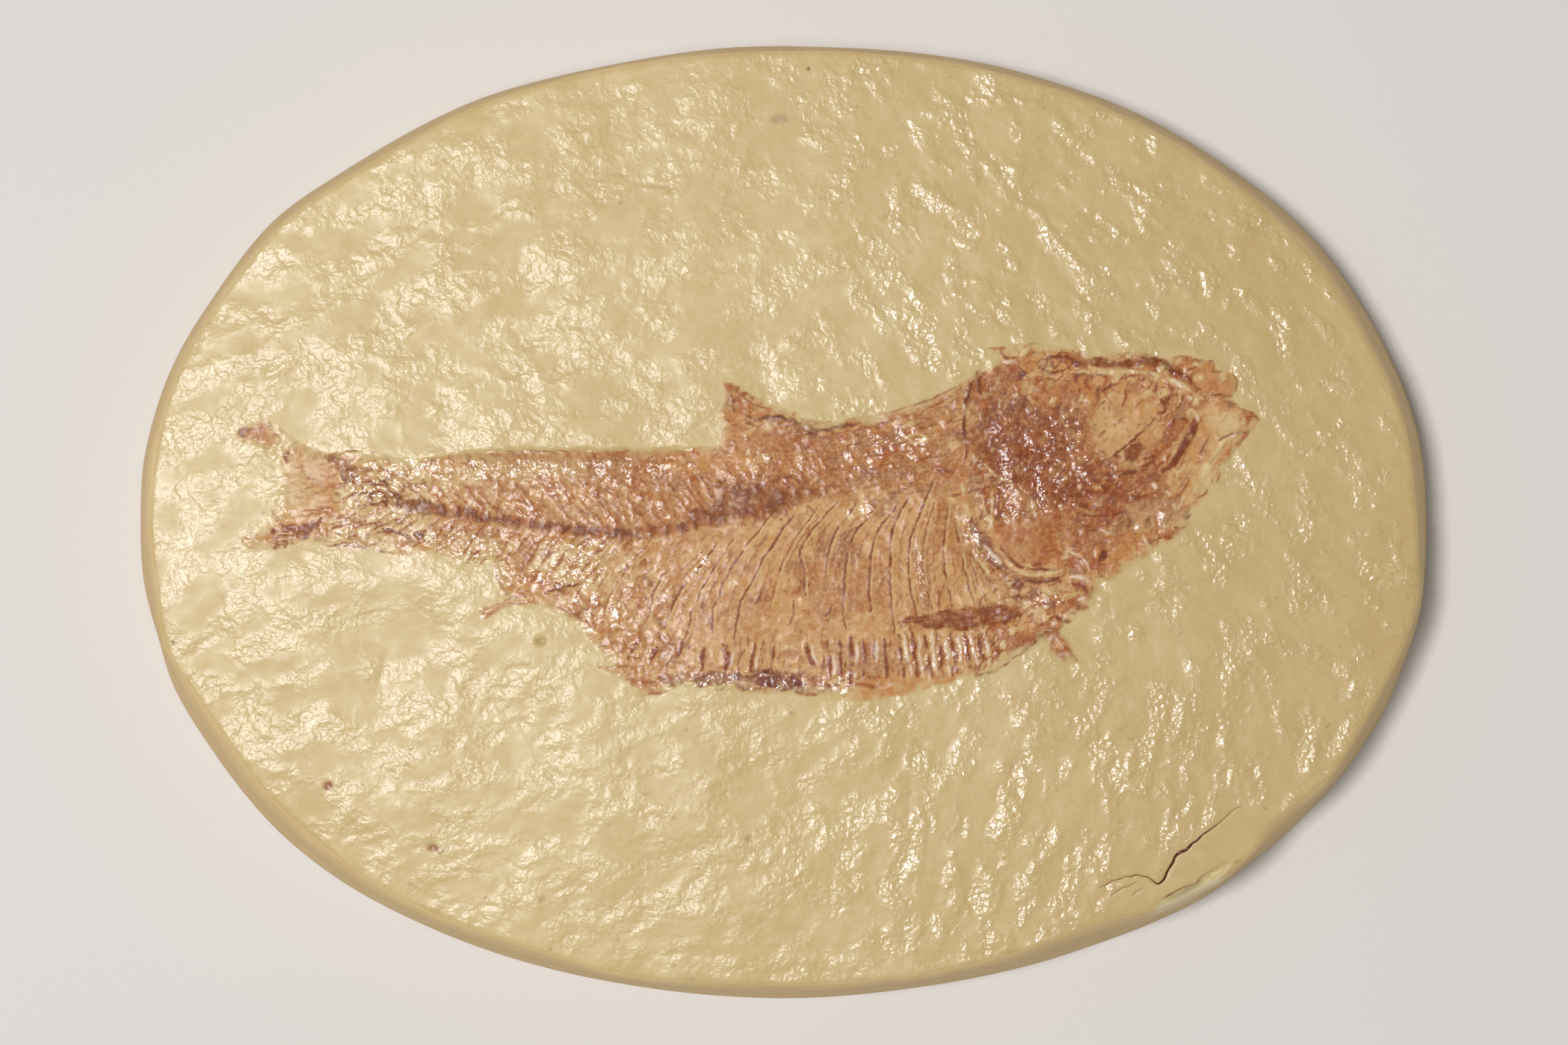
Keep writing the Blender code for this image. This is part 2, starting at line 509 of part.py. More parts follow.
def build_fish():
    """The fish: a film of bone with its backbone, ribs, scutes, fins and skull standing out of it."""
    paddle_line = [(x, y) for half_width, x, y in PADDLE_FIN]
    paddle_upper = [(x, y + half_width) for half_width, x, y in PADDLE_FIN]
    paddle_lower = [(x, y - half_width) for half_width, x, y in PADDLE_FIN]
    bones = RIBS + SCUTES + HEAD_BONES + FIN_RAYS + spines()
    vertebrae, upper, lower = backbone_lines()
    lines = [vertebrae, upper, lower, paddle_line, paddle_upper, paddle_lower]
    for half_width, height, line in bones:
        lines.append(line)
        lines.extend(side_lines(line, half_width))
    loose = []
    for place in scattered(FISH_OUTLINE, FISH_POINT_SPACING, 0.3, 0.5, 11.0):
        if min(distance_to_line(place, line) for line in lines) > 0.45:
            loose.append(place)
    points, triangles = triangulated(FISH_OUTLINE, loose, lines)

    fish = bmesh.new()
    corners = []
    paddle = (0.5, PADDLE_FIN_RELIEF, paddle_line)
    for point in points:
        rise = fish_relief(point, bones + [paddle], vertebrae)
        shore = distance_to_line(point, FISH_OUTLINE, True)
        rise = FILM_EDGE_RISE + (rise - FILM_EDGE_RISE) * ease(shore / 0.6)
        corners.append(fish.verts.new((point.x * MM, point.y * MM, (SLAB_THICKNESS + rise) * MM)))
    for triangle in triangles:
        fish.faces.new([corners[i] for i in triangle])
    rim = [e for e in fish.edges if e.is_boundary]
    walls = bmesh.ops.extrude_edge_only(fish, edges=rim)["geom"]
    underside = []
    for part in walls:
        if isinstance(part, bmesh.types.BMVert):
            part.co.z = (SLAB_THICKNESS - FISH_BED_DEPTH + FIT_GAP) * MM
        if isinstance(part, bmesh.types.BMEdge):
            underside.append(part)
    bmesh.ops.contextual_create(fish, geom=underside)
    return fish


def build():
    """Clear the scene and make the two pieces."""
    for thing in list(bpy.data.objects):
        bpy.data.objects.remove(thing)
    limestone = make_material("limestone", (0.62, 0.50, 0.29), 0.45)
    bone = make_material("fossil_bone", (0.33, 0.13, 0.06), 0.4)
    fish_bed = grown(FISH_OUTLINE, FIT_GAP)
    make_object("limestone_slab", build_slab(fish_bed), limestone)
    make_object("fossil_fish", build_fish(), bone)


build()
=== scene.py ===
"""Looks of the fossil fish on its oval slab of limestone: fine relief, stone and bone materials, light.

Lengths are in millimetres until the meshes are made. x runs from the middle of the slab to the fish's
head, y to its back, z up; the stone's face is at z = 11.
"""

import math

import bmesh
import bpy
import numpy as np
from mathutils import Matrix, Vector, geometry


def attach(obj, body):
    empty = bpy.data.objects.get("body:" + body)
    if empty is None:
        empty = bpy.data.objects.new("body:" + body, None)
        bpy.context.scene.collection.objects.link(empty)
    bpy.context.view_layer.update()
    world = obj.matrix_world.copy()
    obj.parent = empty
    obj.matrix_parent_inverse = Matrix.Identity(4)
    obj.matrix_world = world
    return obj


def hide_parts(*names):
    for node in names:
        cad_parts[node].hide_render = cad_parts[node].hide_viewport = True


MM = 0.001
FACE_Z = 11.0
TOP_LIMIT = 11.72

# Camera and floor
CAMERA_HEIGHT = 382.0
LENS = 105.0
SENSOR = 36.0
FLOOR_REACH = 2.5
FLOOR_GAP = 0.0001

# Lights: name, place in metres, width, power and colour
LIGHTS = [
    ("key_light", (-0.135, 0.012, 0.62), 0.11, 2.5, (0.99, 0.96, 0.98)),
    ("front_light", (-0.042, -0.036, 0.46), 0.045, 0.22, (1.0, 0.98, 0.95)),
]
SKY_COLOUR = (1.0, 0.985, 0.96, 1.0)
SKY_STRENGTH = 0.25

# Mesh of the stone: points around the rim, spacing of the face and of its part hidden under the fish,
# and the clear gaps beside the brow, the fish's edge and the cracks
RIM_POINTS = 720
STONE_SPACING = 0.265
HIDDEN_SPACING = 1.3
JITTER = 0.05
BROW_GAP = 0.18
HIDDEN_DEPTH = 1.1
CRACK_GAP = 0.2
FOOT_SHARE = 0.9985
VARNISHED_RINGS = 2

# Mesh of the fish, and the bed that the stone has for it
FISH_SPAN_X = (-47.2, 41.2)
FISH_SPAN_Y = (-16.0, 16.2)
FISH_STEP = 0.13
FISH_UNDERSIDE = 10.3
FISH_SKIRT = 0.55
BED_DEPTH = 0.4
BED_START = 0.35
LEDGE_HEIGHT = 0.13

# Damage of the stone
CRACK_DEPTH = 0.8
CRACK_EDGE = 0.05
CRACK_NARROWING = 0.85
PIT_DEPTH = 0.12
CHIP_X = 33.9
CHIP_DEPTH = 0.5
CHIP_FOOT = 9.0
NOTCH_DEPTH = 0.9

# The hand-cut rim, clockwise from the left end: a point on the edge of the face, then on the wall's foot
RIM = [
    (-53, 0, -55.3, 0), (-52.5, 6, -54.9, 6), (-50.7, 12.4, -52.8, 12.9), (-47.3, 18.3, -49.3, 19),
    (-42.3, 24.6, -44.1, 25.7), (-36.6, 28.7, -38, 30.1), (-29.1, 33.1, -30.4, 34.5),
    (-22.9, 35.8, -23.8, 37.2), (-14, 38, -14.5, 39.4), (-4.6, 39.2, -4.8, 40.8), (5, 39.3, 5.1, 40.8),
    (13, 38.5, 13.4, 40.1), (20, 37, 20.7, 38.6), (28.7, 33.8, 29.8, 35.4), (36.1, 29.4, 37.6, 30.9),
    (42, 24.6, 44.1, 25.8), (46, 19.8, 48.2, 20.9), (49.3, 14.1, 51.8, 14.8), (51.6, 9, 54, 9.4),
    (52.5, 4.2, 55, 4.6), (53, -2.4, 55.2, -2.1), (52.8, -7.1, 54.7, -7.7), (51.1, -11.8, 53.3, -12.1),
    (48.8, -16.1, 51.3, -16.7), (45.7, -21.2, 47.7, -22), (41.1, -25, 43.4, -26.5),
    (38.5, -28.2, 40.1, -29.2), (34.6, -30.7, 36.3, -32.1), (31, -32.3, 32.3, -34.1),
    (26.7, -33.4, 28, -35.8), (20, -35.8, 20.9, -38.1), (12, -37.7, 12.5, -39.8), (3, -38.6, 3.1, -40.8),
    (-5, -38.5, -5.1, -40.7), (-13, -37.9, -13.6, -39.7), (-20.7, -35.8, -21.8, -37.9),
    (-28, -33.3, -29.3, -35.3), (-35, -29.7, -36.8, -31.6), (-40, -25.7, -42.4, -27.5),
    (-43.9, -21.9, -46.3, -23.4), (-47.2, -17.3, -50, -18.3), (-49.6, -13.8, -52.4, -14.2),
    (-51.7, -10.3, -53.7, -10.2), (-52.5, -5.2, -55, -5.2),
]

# Rings of the slab from the face's brow to the underside: share of the way from the edge of the face
# to the foot (below zero is inside the face, in millimetres), then the height
RINGS = [
    (-0.4, 11), (-0.22, 10.98), (-0.09, 10.94), (0, 10.84), (0.05, 10.66), (0.3, 9.6), (0.42, 8),
    (0.58, 5.6), (0.78, 3), (0.94, 1), (1, 0.45), (0.97, 0.15), (0.88, 0),
]

# The cracks of the lower right corner, the open one first: half width, then place
CRACKS = [
    [(0.012, 26.4, -30.45), (0.025, 27, -30.2), (0.02, 27.4, -29.93), (0.03, 28.1, -29.75),
        (0.02, 28.5, -29.56), (0.035, 29, -29.56), (0.035, 29.4, -29.42), (0.03, 30, -29.55),
        (0.035, 30.4, -29.62), (0.04, 30.85, -29.95), (0.06, 31.25, -30.17), (0.085, 31.7, -29.84),
        (0.09, 31.95, -29.3), (0.075, 32.1, -29), (0.1, 32.5, -28.35), (0.09, 32.65, -27.95),
        (0.12, 33, -27.6), (0.12, 33.65, -27.3), (0.08, 34.1, -26.8), (0.075, 34.5, -26.55),
        (0.055, 35, -26.05), (0.045, 35.8, -25.5), (0.025, 36.55, -24.9), (0.018, 37.6, -23.95),
        (0.01, 38.2, -23.7)],
    [(0.014, 27.5, -31), (0.022, 27.9, -30.72), (0.018, 28.3, -30.5), (0.02, 28.8, -30.35),
        (0.012, 29.3, -30.1)],
    [(0.012, 29.2, -31.1), (0.018, 29.45, -30.8), (0.012, 29.9, -30.55)],
    [(0.02, 31.75, -31.35), (0.045, 32.2, -31.1), (0.03, 32.7, -30.8), (0.03, 33.2, -30.55),
        (0.022, 33.8, -30.3), (0.02, 34.3, -30.14), (0.028, 34.65, -29.84), (0.02, 34.9, -29.55),
        (0.012, 35.3, -29.3)],
]

# The smooth matt corner between the crack and the rim
MATT_CORNER = [
    (27.4, -31), (29.4, -29.9), (30.6, -29.9), (31.5, -30.2), (32.3, -28.9), (33.6, -27.4), (35.4, -25.9),
    (38.2, -23.8), (40.4, -24), (41.2, -25.4), (39.4, -28.6), (36, -31.6), (31, -34.2), (27.6, -33.6),
]

# The fish's outline, from the tip of the tail over the back, head and belly
FISH_OUTLINE = [
    (-46.1, 7.3), (-45.2, 8.1), (-43.2, 8.6), (-42, 8), (-40.6, 6.8), (-38, 5.8), (-36.9, 6.1), (-34, 5.9),
    (-31, 5.3), (-28.5, 5.9), (-24, 6.1), (-16, 6.2), (-9.5, 6.3), (-5.6, 6.6), (-5, 8), (-5.7, 9.2),
    (-4.9, 10), (-5, 11.7), (-4.1, 11.6), (-1.6, 10.1), (0.4, 9.4), (3.2, 8.3), (6.5, 8.9), (9.6, 9.6),
    (13.2, 10.9), (15.2, 12.1), (16.2, 12.9), (17.4, 13.4), (17, 14.6), (20.7, 15), (23.5, 14.7),
    (26, 14.1), (29.4, 14.4), (32, 13.8), (33.2, 14.1), (35.8, 13.6), (36.2, 12.8), (37.6, 12.5),
    (37.9, 11.5), (37.5, 10.4), (38.2, 9.7), (39.3, 9.2), (39.9, 8.5), (39.4, 7.9), (38.8, 7.3),
    (38.1, 6.4), (37.4, 5.3), (36.5, 4.5), (36.3, 3.4), (35, 2), (34.2, 0.8), (33.6, -0.5), (32.6, -1.5),
    (30.7, -2.6), (28.4, -4.3), (26.4, -5.2), (25.9, -7), (24.5, -7.8), (23.4, -9.2), (24.9, -11.6),
    (23.3, -11.9), (21.5, -10.2), (19.5, -11.3), (17.8, -12.4), (16.1, -13), (13.9, -13.3), (11, -14.3),
    (7.5, -14.9), (4.2, -14.9), (0.5, -14.5), (-4, -14.2), (-8.8, -13.6), (-10.2, -14.5), (-12.5, -14.6),
    (-13.8, -13.2), (-15.8, -12.3), (-14.8, -11.2), (-15.9, -10.2), (-17, -8.7), (-18.8, -7.9),
    (-20.6, -7.3), (-22.6, -7.5), (-25.2, -8.2), (-25.6, -7.2), (-23.6, -6.1), (-24.5, -3.6),
    (-26.6, -3.7), (-28.4, -3.1), (-31.6, -2.8), (-36, -2.2), (-40.2, -1.9), (-42.4, -2.4), (-44.8, -2.2),
    (-45.4, -1.5), (-44.4, -0.7), (-43.2, 0.4), (-42.6, 1.4), (-42.3, 2.8), (-42.5, 4.1), (-42.6, 5),
    (-42.8, 6), (-44.2, 6.3), (-45.3, 6.6),
]

# The backbone from the tail to the skull, and the spacing of its vertebrae
BACKBONE = [
    (-36.6, 2.2), (-33, 1.8), (-31, 1.5), (-28, 1), (-24.5, 0.4), (-20.5, -0.3), (-17, -0.6), (-13, -0.9),
    (-10, -0.7), (-7, 0), (-4, 0.8), (-1, 1.5), (2, 2.5), (5, 3.1), (8, 3.6), (11, 3.9), (14.2, 4.4),
]
VERTEBRA_PITCH = 1.25

# The white stain is partly pale bone and partly painted glints of the varnish.
STAINS = ("orange", "brown", "purple", "dark", "pale", "white_bone_and_glint")

# What a line or patch does to the film: amounts of each stain, then the relief of a line
KINDS = {
    "dark": ({"dark": 0.75, "brown": 0.7}, 0.03),
    "groove": ({"dark": 0.9, "brown": 0.5}, -0.05),
    "red": ({"brown": 0.85, "dark": 0.2}, 0.025),
    "maroon": ({"brown": 0.95, "dark": 0.5}, 0.03),
    "orange": ({"orange": 0.95}, 0.0),
    "purple": ({"purple": 0.8, "dark": 0.3}, 0.04),
    "grey": ({"purple": 0.55, "pale": 0.35}, 0.0),
    "pale": ({"pale": 0.85}, 0.03),
    # White: partly pale bone, partly painted glints of the varnish on the bone.
    "white_bone_and_glint": ({"white_bone_and_glint": 0.6}, 0.045),
}

# Which of the shattered pieces take which stain, as shares of them all
SHARD_STAINS = [
    ("brown", 0.0, 0.45), ("dark", 0.12, 0.17), ("orange", 0.4, 0.62), ("purple", 0.62, 0.7),
    ("pale", 0.84, 1.0),
]

# Ribs: kind, half width and points, from the backbone down
RIBS = [
    ("red", 0.1, [(-13.5, -1.5), (-15, -3.1), (-16.6, -4.9), (-17.6, -6.6)]),
    ("red", 0.1, [(-11.2, -1.5), (-13, -3.8), (-14.5, -6), (-15.3, -8.3)]),
    ("maroon", 0.1, [(-9.4, -3.8), (-10.3, -4.7), (-10.9, -6), (-11.2, -7.6), (-11.6, -8.4), (-12, -8.9)]),
    ("maroon", 0.12, [(-6.8, -2.4), (-8.3, -3.7), (-9, -4.4), (-9.8, -5.1)]),
    ("maroon", 0.12, [(-5.6, -1.8), (-7.5, -4.4), (-8.2, -5.1), (-8.9, -6.1), (-9.4, -7.2), (-9.7, -7.9),
        (-10, -8.8)]),
    ("maroon", 0.1, [(-4.2, -1.4), (-6.7, -5.2), (-7.2, -6.3), (-7.4, -7), (-7.7, -7.4), (-7.9, -8.3),
        (-8.1, -9.5)]),
    ("maroon", 0.12, [(-1, 0.8), (-4.1, -3.3), (-4.6, -4.3), (-5.1, -5.1), (-5.5, -6.3), (-5.9, -7.3),
        (-6, -9.7)]),
    ("maroon", 0.13, [(1.2, 1.2), (-1.4, -2.5), (-2.2, -4), (-2.7, -5), (-3.2, -5.9), (-3.7, -7),
        (-4.2, -9.8)]),
    ("red", 0.1, [(2.8, 1.3), (0.3, -2.4), (-0.8, -5.6), (-1.3, -7.4)]),
    ("maroon", 0.12, [(4.4, 1.7), (2.1, -1), (1.3, -2.4), (1.75, -4.4), (1.7, -6.1)]),
    ("maroon", 0.13, [(6, 1.6), (4.2, -1), (3.7, -2.6), (3.5, -3.6), (3.2, -5.4)]),
    ("maroon", 0.2, [(8, 1.8), (5.8, -1.2), (5.3, -2.6), (5.05, -5), (4.9, -7), (5.1, -8.9)]),
    ("maroon", 0.17, [(9.5, 1.6), (7.65, -1.1), (7.2, -3.5), (7.15, -6), (7.35, -7.1), (7.2, -7.4)]),
    ("maroon", 0.13, [(10.6, 2.6), (9.2, -0.2), (8.9, -1.8), (8.85, -5), (9, -7.5), (9.3, -9.5),
        (9.9, -11.5)]),
    ("maroon", 0.12, [(12.5, 3.4), (11.2, 0.5), (10.5, -1.5), (10.4, -4.3), (11, -7.8)]),
    ("red", 0.12, [(12.6, 1.8), (11.6, -2), (11.7, -5), (12.5, -7.2)]),
    ("maroon", 0.12, [(13.6, 1.5), (13.3, -2.8), (14, -6.9)]),
    ("maroon", 0.11, [(14.3, 0.4), (14.6, -2), (15.2, -4.5), (15.9, -6.8)]),
    ("red", 0.1, [(15.2, -2), (15.9, -4.2), (16.9, -6.6)]),
    ("maroon", 0.1, [(15.5, -2.4), (16.3, -3.6), (17.5, -5.3)]),
    ("pale", 0.1, [(16, -3), (17, -4.1), (17.9, -4.8)]),
]

# Scute struts of the keel, with white strokes beside them that are painted glints, and how many stand in the
# close row under the shoulder
CLOSE_STRUTS = 15
SCUTES = [
    ("maroon", 0.2, [(-12.1, -9.7), (-12.4, -10.4), (-13, -11.2)]),
    ("maroon", 0.2, [(-10.6, -10.4), (-11, -11.2), (-11.3, -12.1)]),
    ("maroon", 0.24, [(-8.6, -10), (-8.8, -10.8), (-9.3, -11.8)]),
    ("maroon", 0.23, [(-6.7, -10.5), (-6.8, -11.2), (-6.9, -12.4)]),
    ("maroon", 0.24, [(-4.7, -10.3), (-4.7, -11.4), (-5.1, -12.6)]),
    ("maroon", 0.2, [(-2.4, -10.2), (-2.6, -11.2), (-2.9, -12.5)]),
    ("maroon", 0.2, [(-0.9, -10.5), (-0.9, -11.4), (-1, -12.4)]),
    ("maroon", 0.23, [(1.9, -10.2), (2.1, -11.2), (2.5, -11.8)]),
    ("maroon", 0.24, [(3.6, -9.9), (3.75, -11.2), (3.8, -12.9)]),
    ("maroon", 0.26, [(5.6, -9.6), (5.6, -11.4), (5.5, -13.6)]),
    ("white_bone_and_glint", 0.12, [(-11.4, -10.6), (-11.6, -11.2), (-11.9, -11.9)]),
    ("white_bone_and_glint", 0.12, [(-9.2, -10.4), (-9.4, -11), (-9.8, -11.6)]),
    ("white_bone_and_glint", 0.12, [(-4.3, -10.5), (-4.3, -11.4), (-4.6, -12.2)]),
    ("white_bone_and_glint", 0.12, [(-2, -10.6), (-2.2, -11.2), (-2.4, -12.2)]),
    ("white_bone_and_glint", 0.12, [(2.4, -10.2), (2.5, -11.2), (2.8, -11.8)]),
    ("white_bone_and_glint", 0.16, [(4.1, -9.9), (4.2, -11.2), (4.3, -12.6)]),
    ("maroon", 0.2, [(4.6, -9.8), (4.7, -11.2), (4.7, -12.8)]),
    ("white_bone_and_glint", 0.14, [(6.1, -9.8), (6.1, -11.4), (6, -13)]),
    ("maroon", 0.18, [(6.6, -9.8), (6.7, -11.2), (6.6, -12.9)]),
    ("maroon", 0.2, [(8.4, -9.8), (8.5, -11.2), (8.6, -12.9)]),
    ("white_bone_and_glint", 0.2, [(7.7, -9.9), (7.8, -10.7), (7.75, -11.5)]),
    ("maroon", 0.11, [(7.5, -9.8), (7.5, -10.6), (7.6, -11.4)]),
    ("maroon", 0.12, [(9.4, -11.8), (9.5, -12.8)]),
]

# The other lines of the tail, fins, belly edge and back; their white strokes are painted glints
BODY_LINES = [
    ("red", 0.16, [(-46, 7.1), (-45.7, 7.6), (-44.9, 7.6), (-44.3, 7.9)]),
    ("dark", 0.06, [(-46, 7.1), (-45.5, 6.8), (-45, 6.7)]),
    ("maroon", 0.07, [(-43.2, 8.5), (-41.9, 8)]),
    ("maroon", 0.07, [(-43.1, 8.2), (-41.9, 7.6)]),
    ("maroon", 0.07, [(-43.1, 7.9), (-41.9, 7.3)]),
    ("maroon", 0.07, [(-42.9, 7.6), (-41.8, 7)]),
    ("maroon", 0.14, [(-41.5, 4.9), (-41.6, 5.5), (-41.3, 6.1), (-41, 6.5), (-40.8, 6.65)]),
    ("dark", 0.16, [(-38, 5.5), (-37.3, 5.3), (-36.8, 4.9), (-37, 4.4), (-36.9, 3.9), (-36.6, 3.4)]),
    ("orange", 0.3, [(-38.4, 3.1), (-37.3, 3.1)]),
    ("dark", 0.16, [(-37.4, 2.4), (-37.1, 2.3)]),
    ("red", 0.05, [(-37.9, 1.2), (-40.5, 1)]),
    ("red", 0.05, [(-38.2, 0.9), (-41, 0.6)]),
    ("red", 0.06, [(-43.1, 1.7), (-42.9, 1.1), (-42.5, 0.5), (-42.2, 0.1)]),
    ("red", 0.1, [(-44.6, -0.9), (-45.2, -1.5), (-44.9, -2.1), (-44.2, -2)]),
    ("pale", 0.06, [(-42.6, -1), (-40.7, -0.8)]),
    ("pale", 0.06, [(-42.5, -1.5), (-40.6, -1.2)]),
    ("pale", 0.06, [(-42.3, -1.8), (-40.4, -1.5)]),
    ("pale", 0.05, [(-42.1, -2.1), (-40.3, -1.8)]),
    # Painted shade: the dark lines along the top edge of the rear body lie where the stone steps up above the
    # film.
    ("maroon", 0.1, [(-36.9, 6), (-34, 5.95), (-31, 5.5)]),
    ("maroon", 0.08, [(-36.5, 3.4), (-34.6, 3.3), (-33, 3)]),
    ("maroon", 0.08, [(-36.9, 2), (-34.5, 2.6), (-33, 2.3)]),
    ("maroon", 0.07, [(-36, 1.3), (-34.4, 1.6), (-33, 1.8)]),
    ("maroon", 0.07, [(-36.5, -0.4), (-34, -0.1), (-32, 0.4)]),
    ("red", 0.06, [(-36.2, 4.6), (-34.4, 4.4), (-32.8, 4.2)]),
    ("red", 0.06, [(-36.6, 0.6), (-34.8, 0.5), (-33.2, 1)]),
    ("red", 0.06, [(-36.4, -1.2), (-34.2, -0.9), (-32.4, -0.7)]),
    ("red", 0.06, [(-38.4, -0.6), (-36.6, -0.2), (-34.8, 0.1)]),
    ("dark", 0.2, [(-33.3, 3.3), (-32.7, 2.4), (-32, 1.9)]),
    ("dark", 0.12, [(-33.5, -0.6), (-32, -0.9), (-31, -1.6)]),
    ("dark", 0.3, [(-30.7, -1.1), (-30.2, -1.1)]),
    ("maroon", 0.1, [(-39, -2), (-36, -2), (-34, -2.4), (-30.4, -2.9)]),
    # Painted shade of the step along the top edge of the rear body.
    ("maroon", 0.1, [(-31, 5.5), (-30, 5.6), (-29, 6), (-26, 6.15), (-23, 6.1), (-20, 6.05), (-16, 6.2),
        (-12, 6.3)]),
    ("orange", 0.2, [(-20, 6.1), (-16, 6.2), (-12, 6.3), (-8, 6.7)]),
    ("red", 0.14, [(-24.3, -3.5), (-23.9, -4.3), (-23.6, -5.2), (-23.4, -6)]),
    ("white_bone_and_glint", 0.08, [(-24.1, -3.6), (-23.7, -4.4), (-23.4, -5.3)]),
    ("red", 0.06, [(-20.5, -6), (-22.5, -6.2), (-24, -6.9), (-25.2, -7.6)]),
    ("red", 0.06, [(-20.9, -6.6), (-23, -6.9), (-25, -7.9)]),
    ("pale", 0.06, [(-21, -6.3), (-23.2, -6.6), (-25.4, -7.8)]),
    ("orange", 0.3, [(-19.4, -3.4), (-19.8, -4.6), (-20, -5.9)]),
    ("dark", 0.14, [(-19.8, -5.8), (-18.5, -5.4), (-17, -5.1)]),
    ("red", 0.12, [(-18.6, -7), (-17.2, -7.9), (-15.8, -8.6)]),
    ("red", 0.1, [(-14.5, -10), (-13, -11), (-11.5, -11.4)]),
    ("red", 0.08, [(-16, -12.1), (-14.6, -12.15), (-13, -12)]),
    ("red", 0.1, [(-13.8, -13), (-12.4, -13.2), (-11, -13.4)]),
    ("red", 0.2, [(-12.2, -14.5), (-11, -14.2), (-9.8, -14.3)]),
    ("red", 0.08, [(-15.4, -10.3), (-14, -10.2), (-12.8, -10.4)]),
    ("purple", 0.1, [(-4, -14), (-2.7, -13.95), (-1.5, -13.9)]),
    ("red", 0.2, [(1, -14.2), (2.8, -14.4)]),
    ("white_bone_and_glint", 0.24, [(4.2, -14), (4.8, -14)]),
    ("red", 0.16, [(6, -13.4), (7.5, -13.8)]),
    ("dark", 0.17, [(16.1, -12.85), (17.9, -12.25), (19.6, -11.1), (20.7, -10.2), (22, -9.2), (23, -8.7)]),
    ("white_bone_and_glint", 0.06, [(17.5, -12.2), (19, -11.5)]),
    ("red", 0.07, [(22.3, -9.7), (22.9, -10.8), (23.4, -11.4)]),
    ("red", 0.07, [(23.4, -10.3), (24, -10.8), (24.5, -11.6)]),
    ("pale", 0.07, [(22.1, -10.5), (22.8, -11.7)]),
    ("white_bone_and_glint", 0.06, [(22.9, -9.9), (23.8, -11.2)]),
    ("dark", 0.17, [(-3.3, 9), (-2.5, 8.7), (-0.4, 8.8), (1.5, 8.2), (3.2, 7.7), (5, 8.1), (6.3, 8.3)]),
    ("dark", 0.12, [(-0.3, 7.7), (0.8, 7.6), (2.5, 7.4)]),
    ("red", 0.14, [(-4.9, 11.3), (-4.4, 10.6), (-4.3, 9.6), (-3.6, 9.2)]),
    ("red", 0.1, [(-4, 11), (-2.6, 9.9), (-0.8, 9.3)]),
    ("red", 0.08, [(-4.8, 8.6), (-3.6, 7.8), (-2.9, 6.9)]),
    ("red", 0.07, [(2, 6.4), (6, 6.6), (10, 7.4), (14, 8.6)]),
    ("red", 0.07, [(1, 5.4), (5, 5.3), (9, 5.8), (13.6, 7)]),
    ("red", 0.07, [(3, 4.4), (7, 4.6), (11, 5.2), (14, 5.8)]),
    ("red", 0.07, [(4, 7.4), (8, 8.2), (12, 9.6), (14.6, 10.8)]),
    ("red", 0.08, [(6.5, 8.7), (9.6, 9.4), (13.2, 10.7), (15.2, 11.8)]),
    ("pale", 0.14, [(10.2, 7), (11, 7.4), (11.9, 7), (11, 6.6), (10.2, 7)]),
]
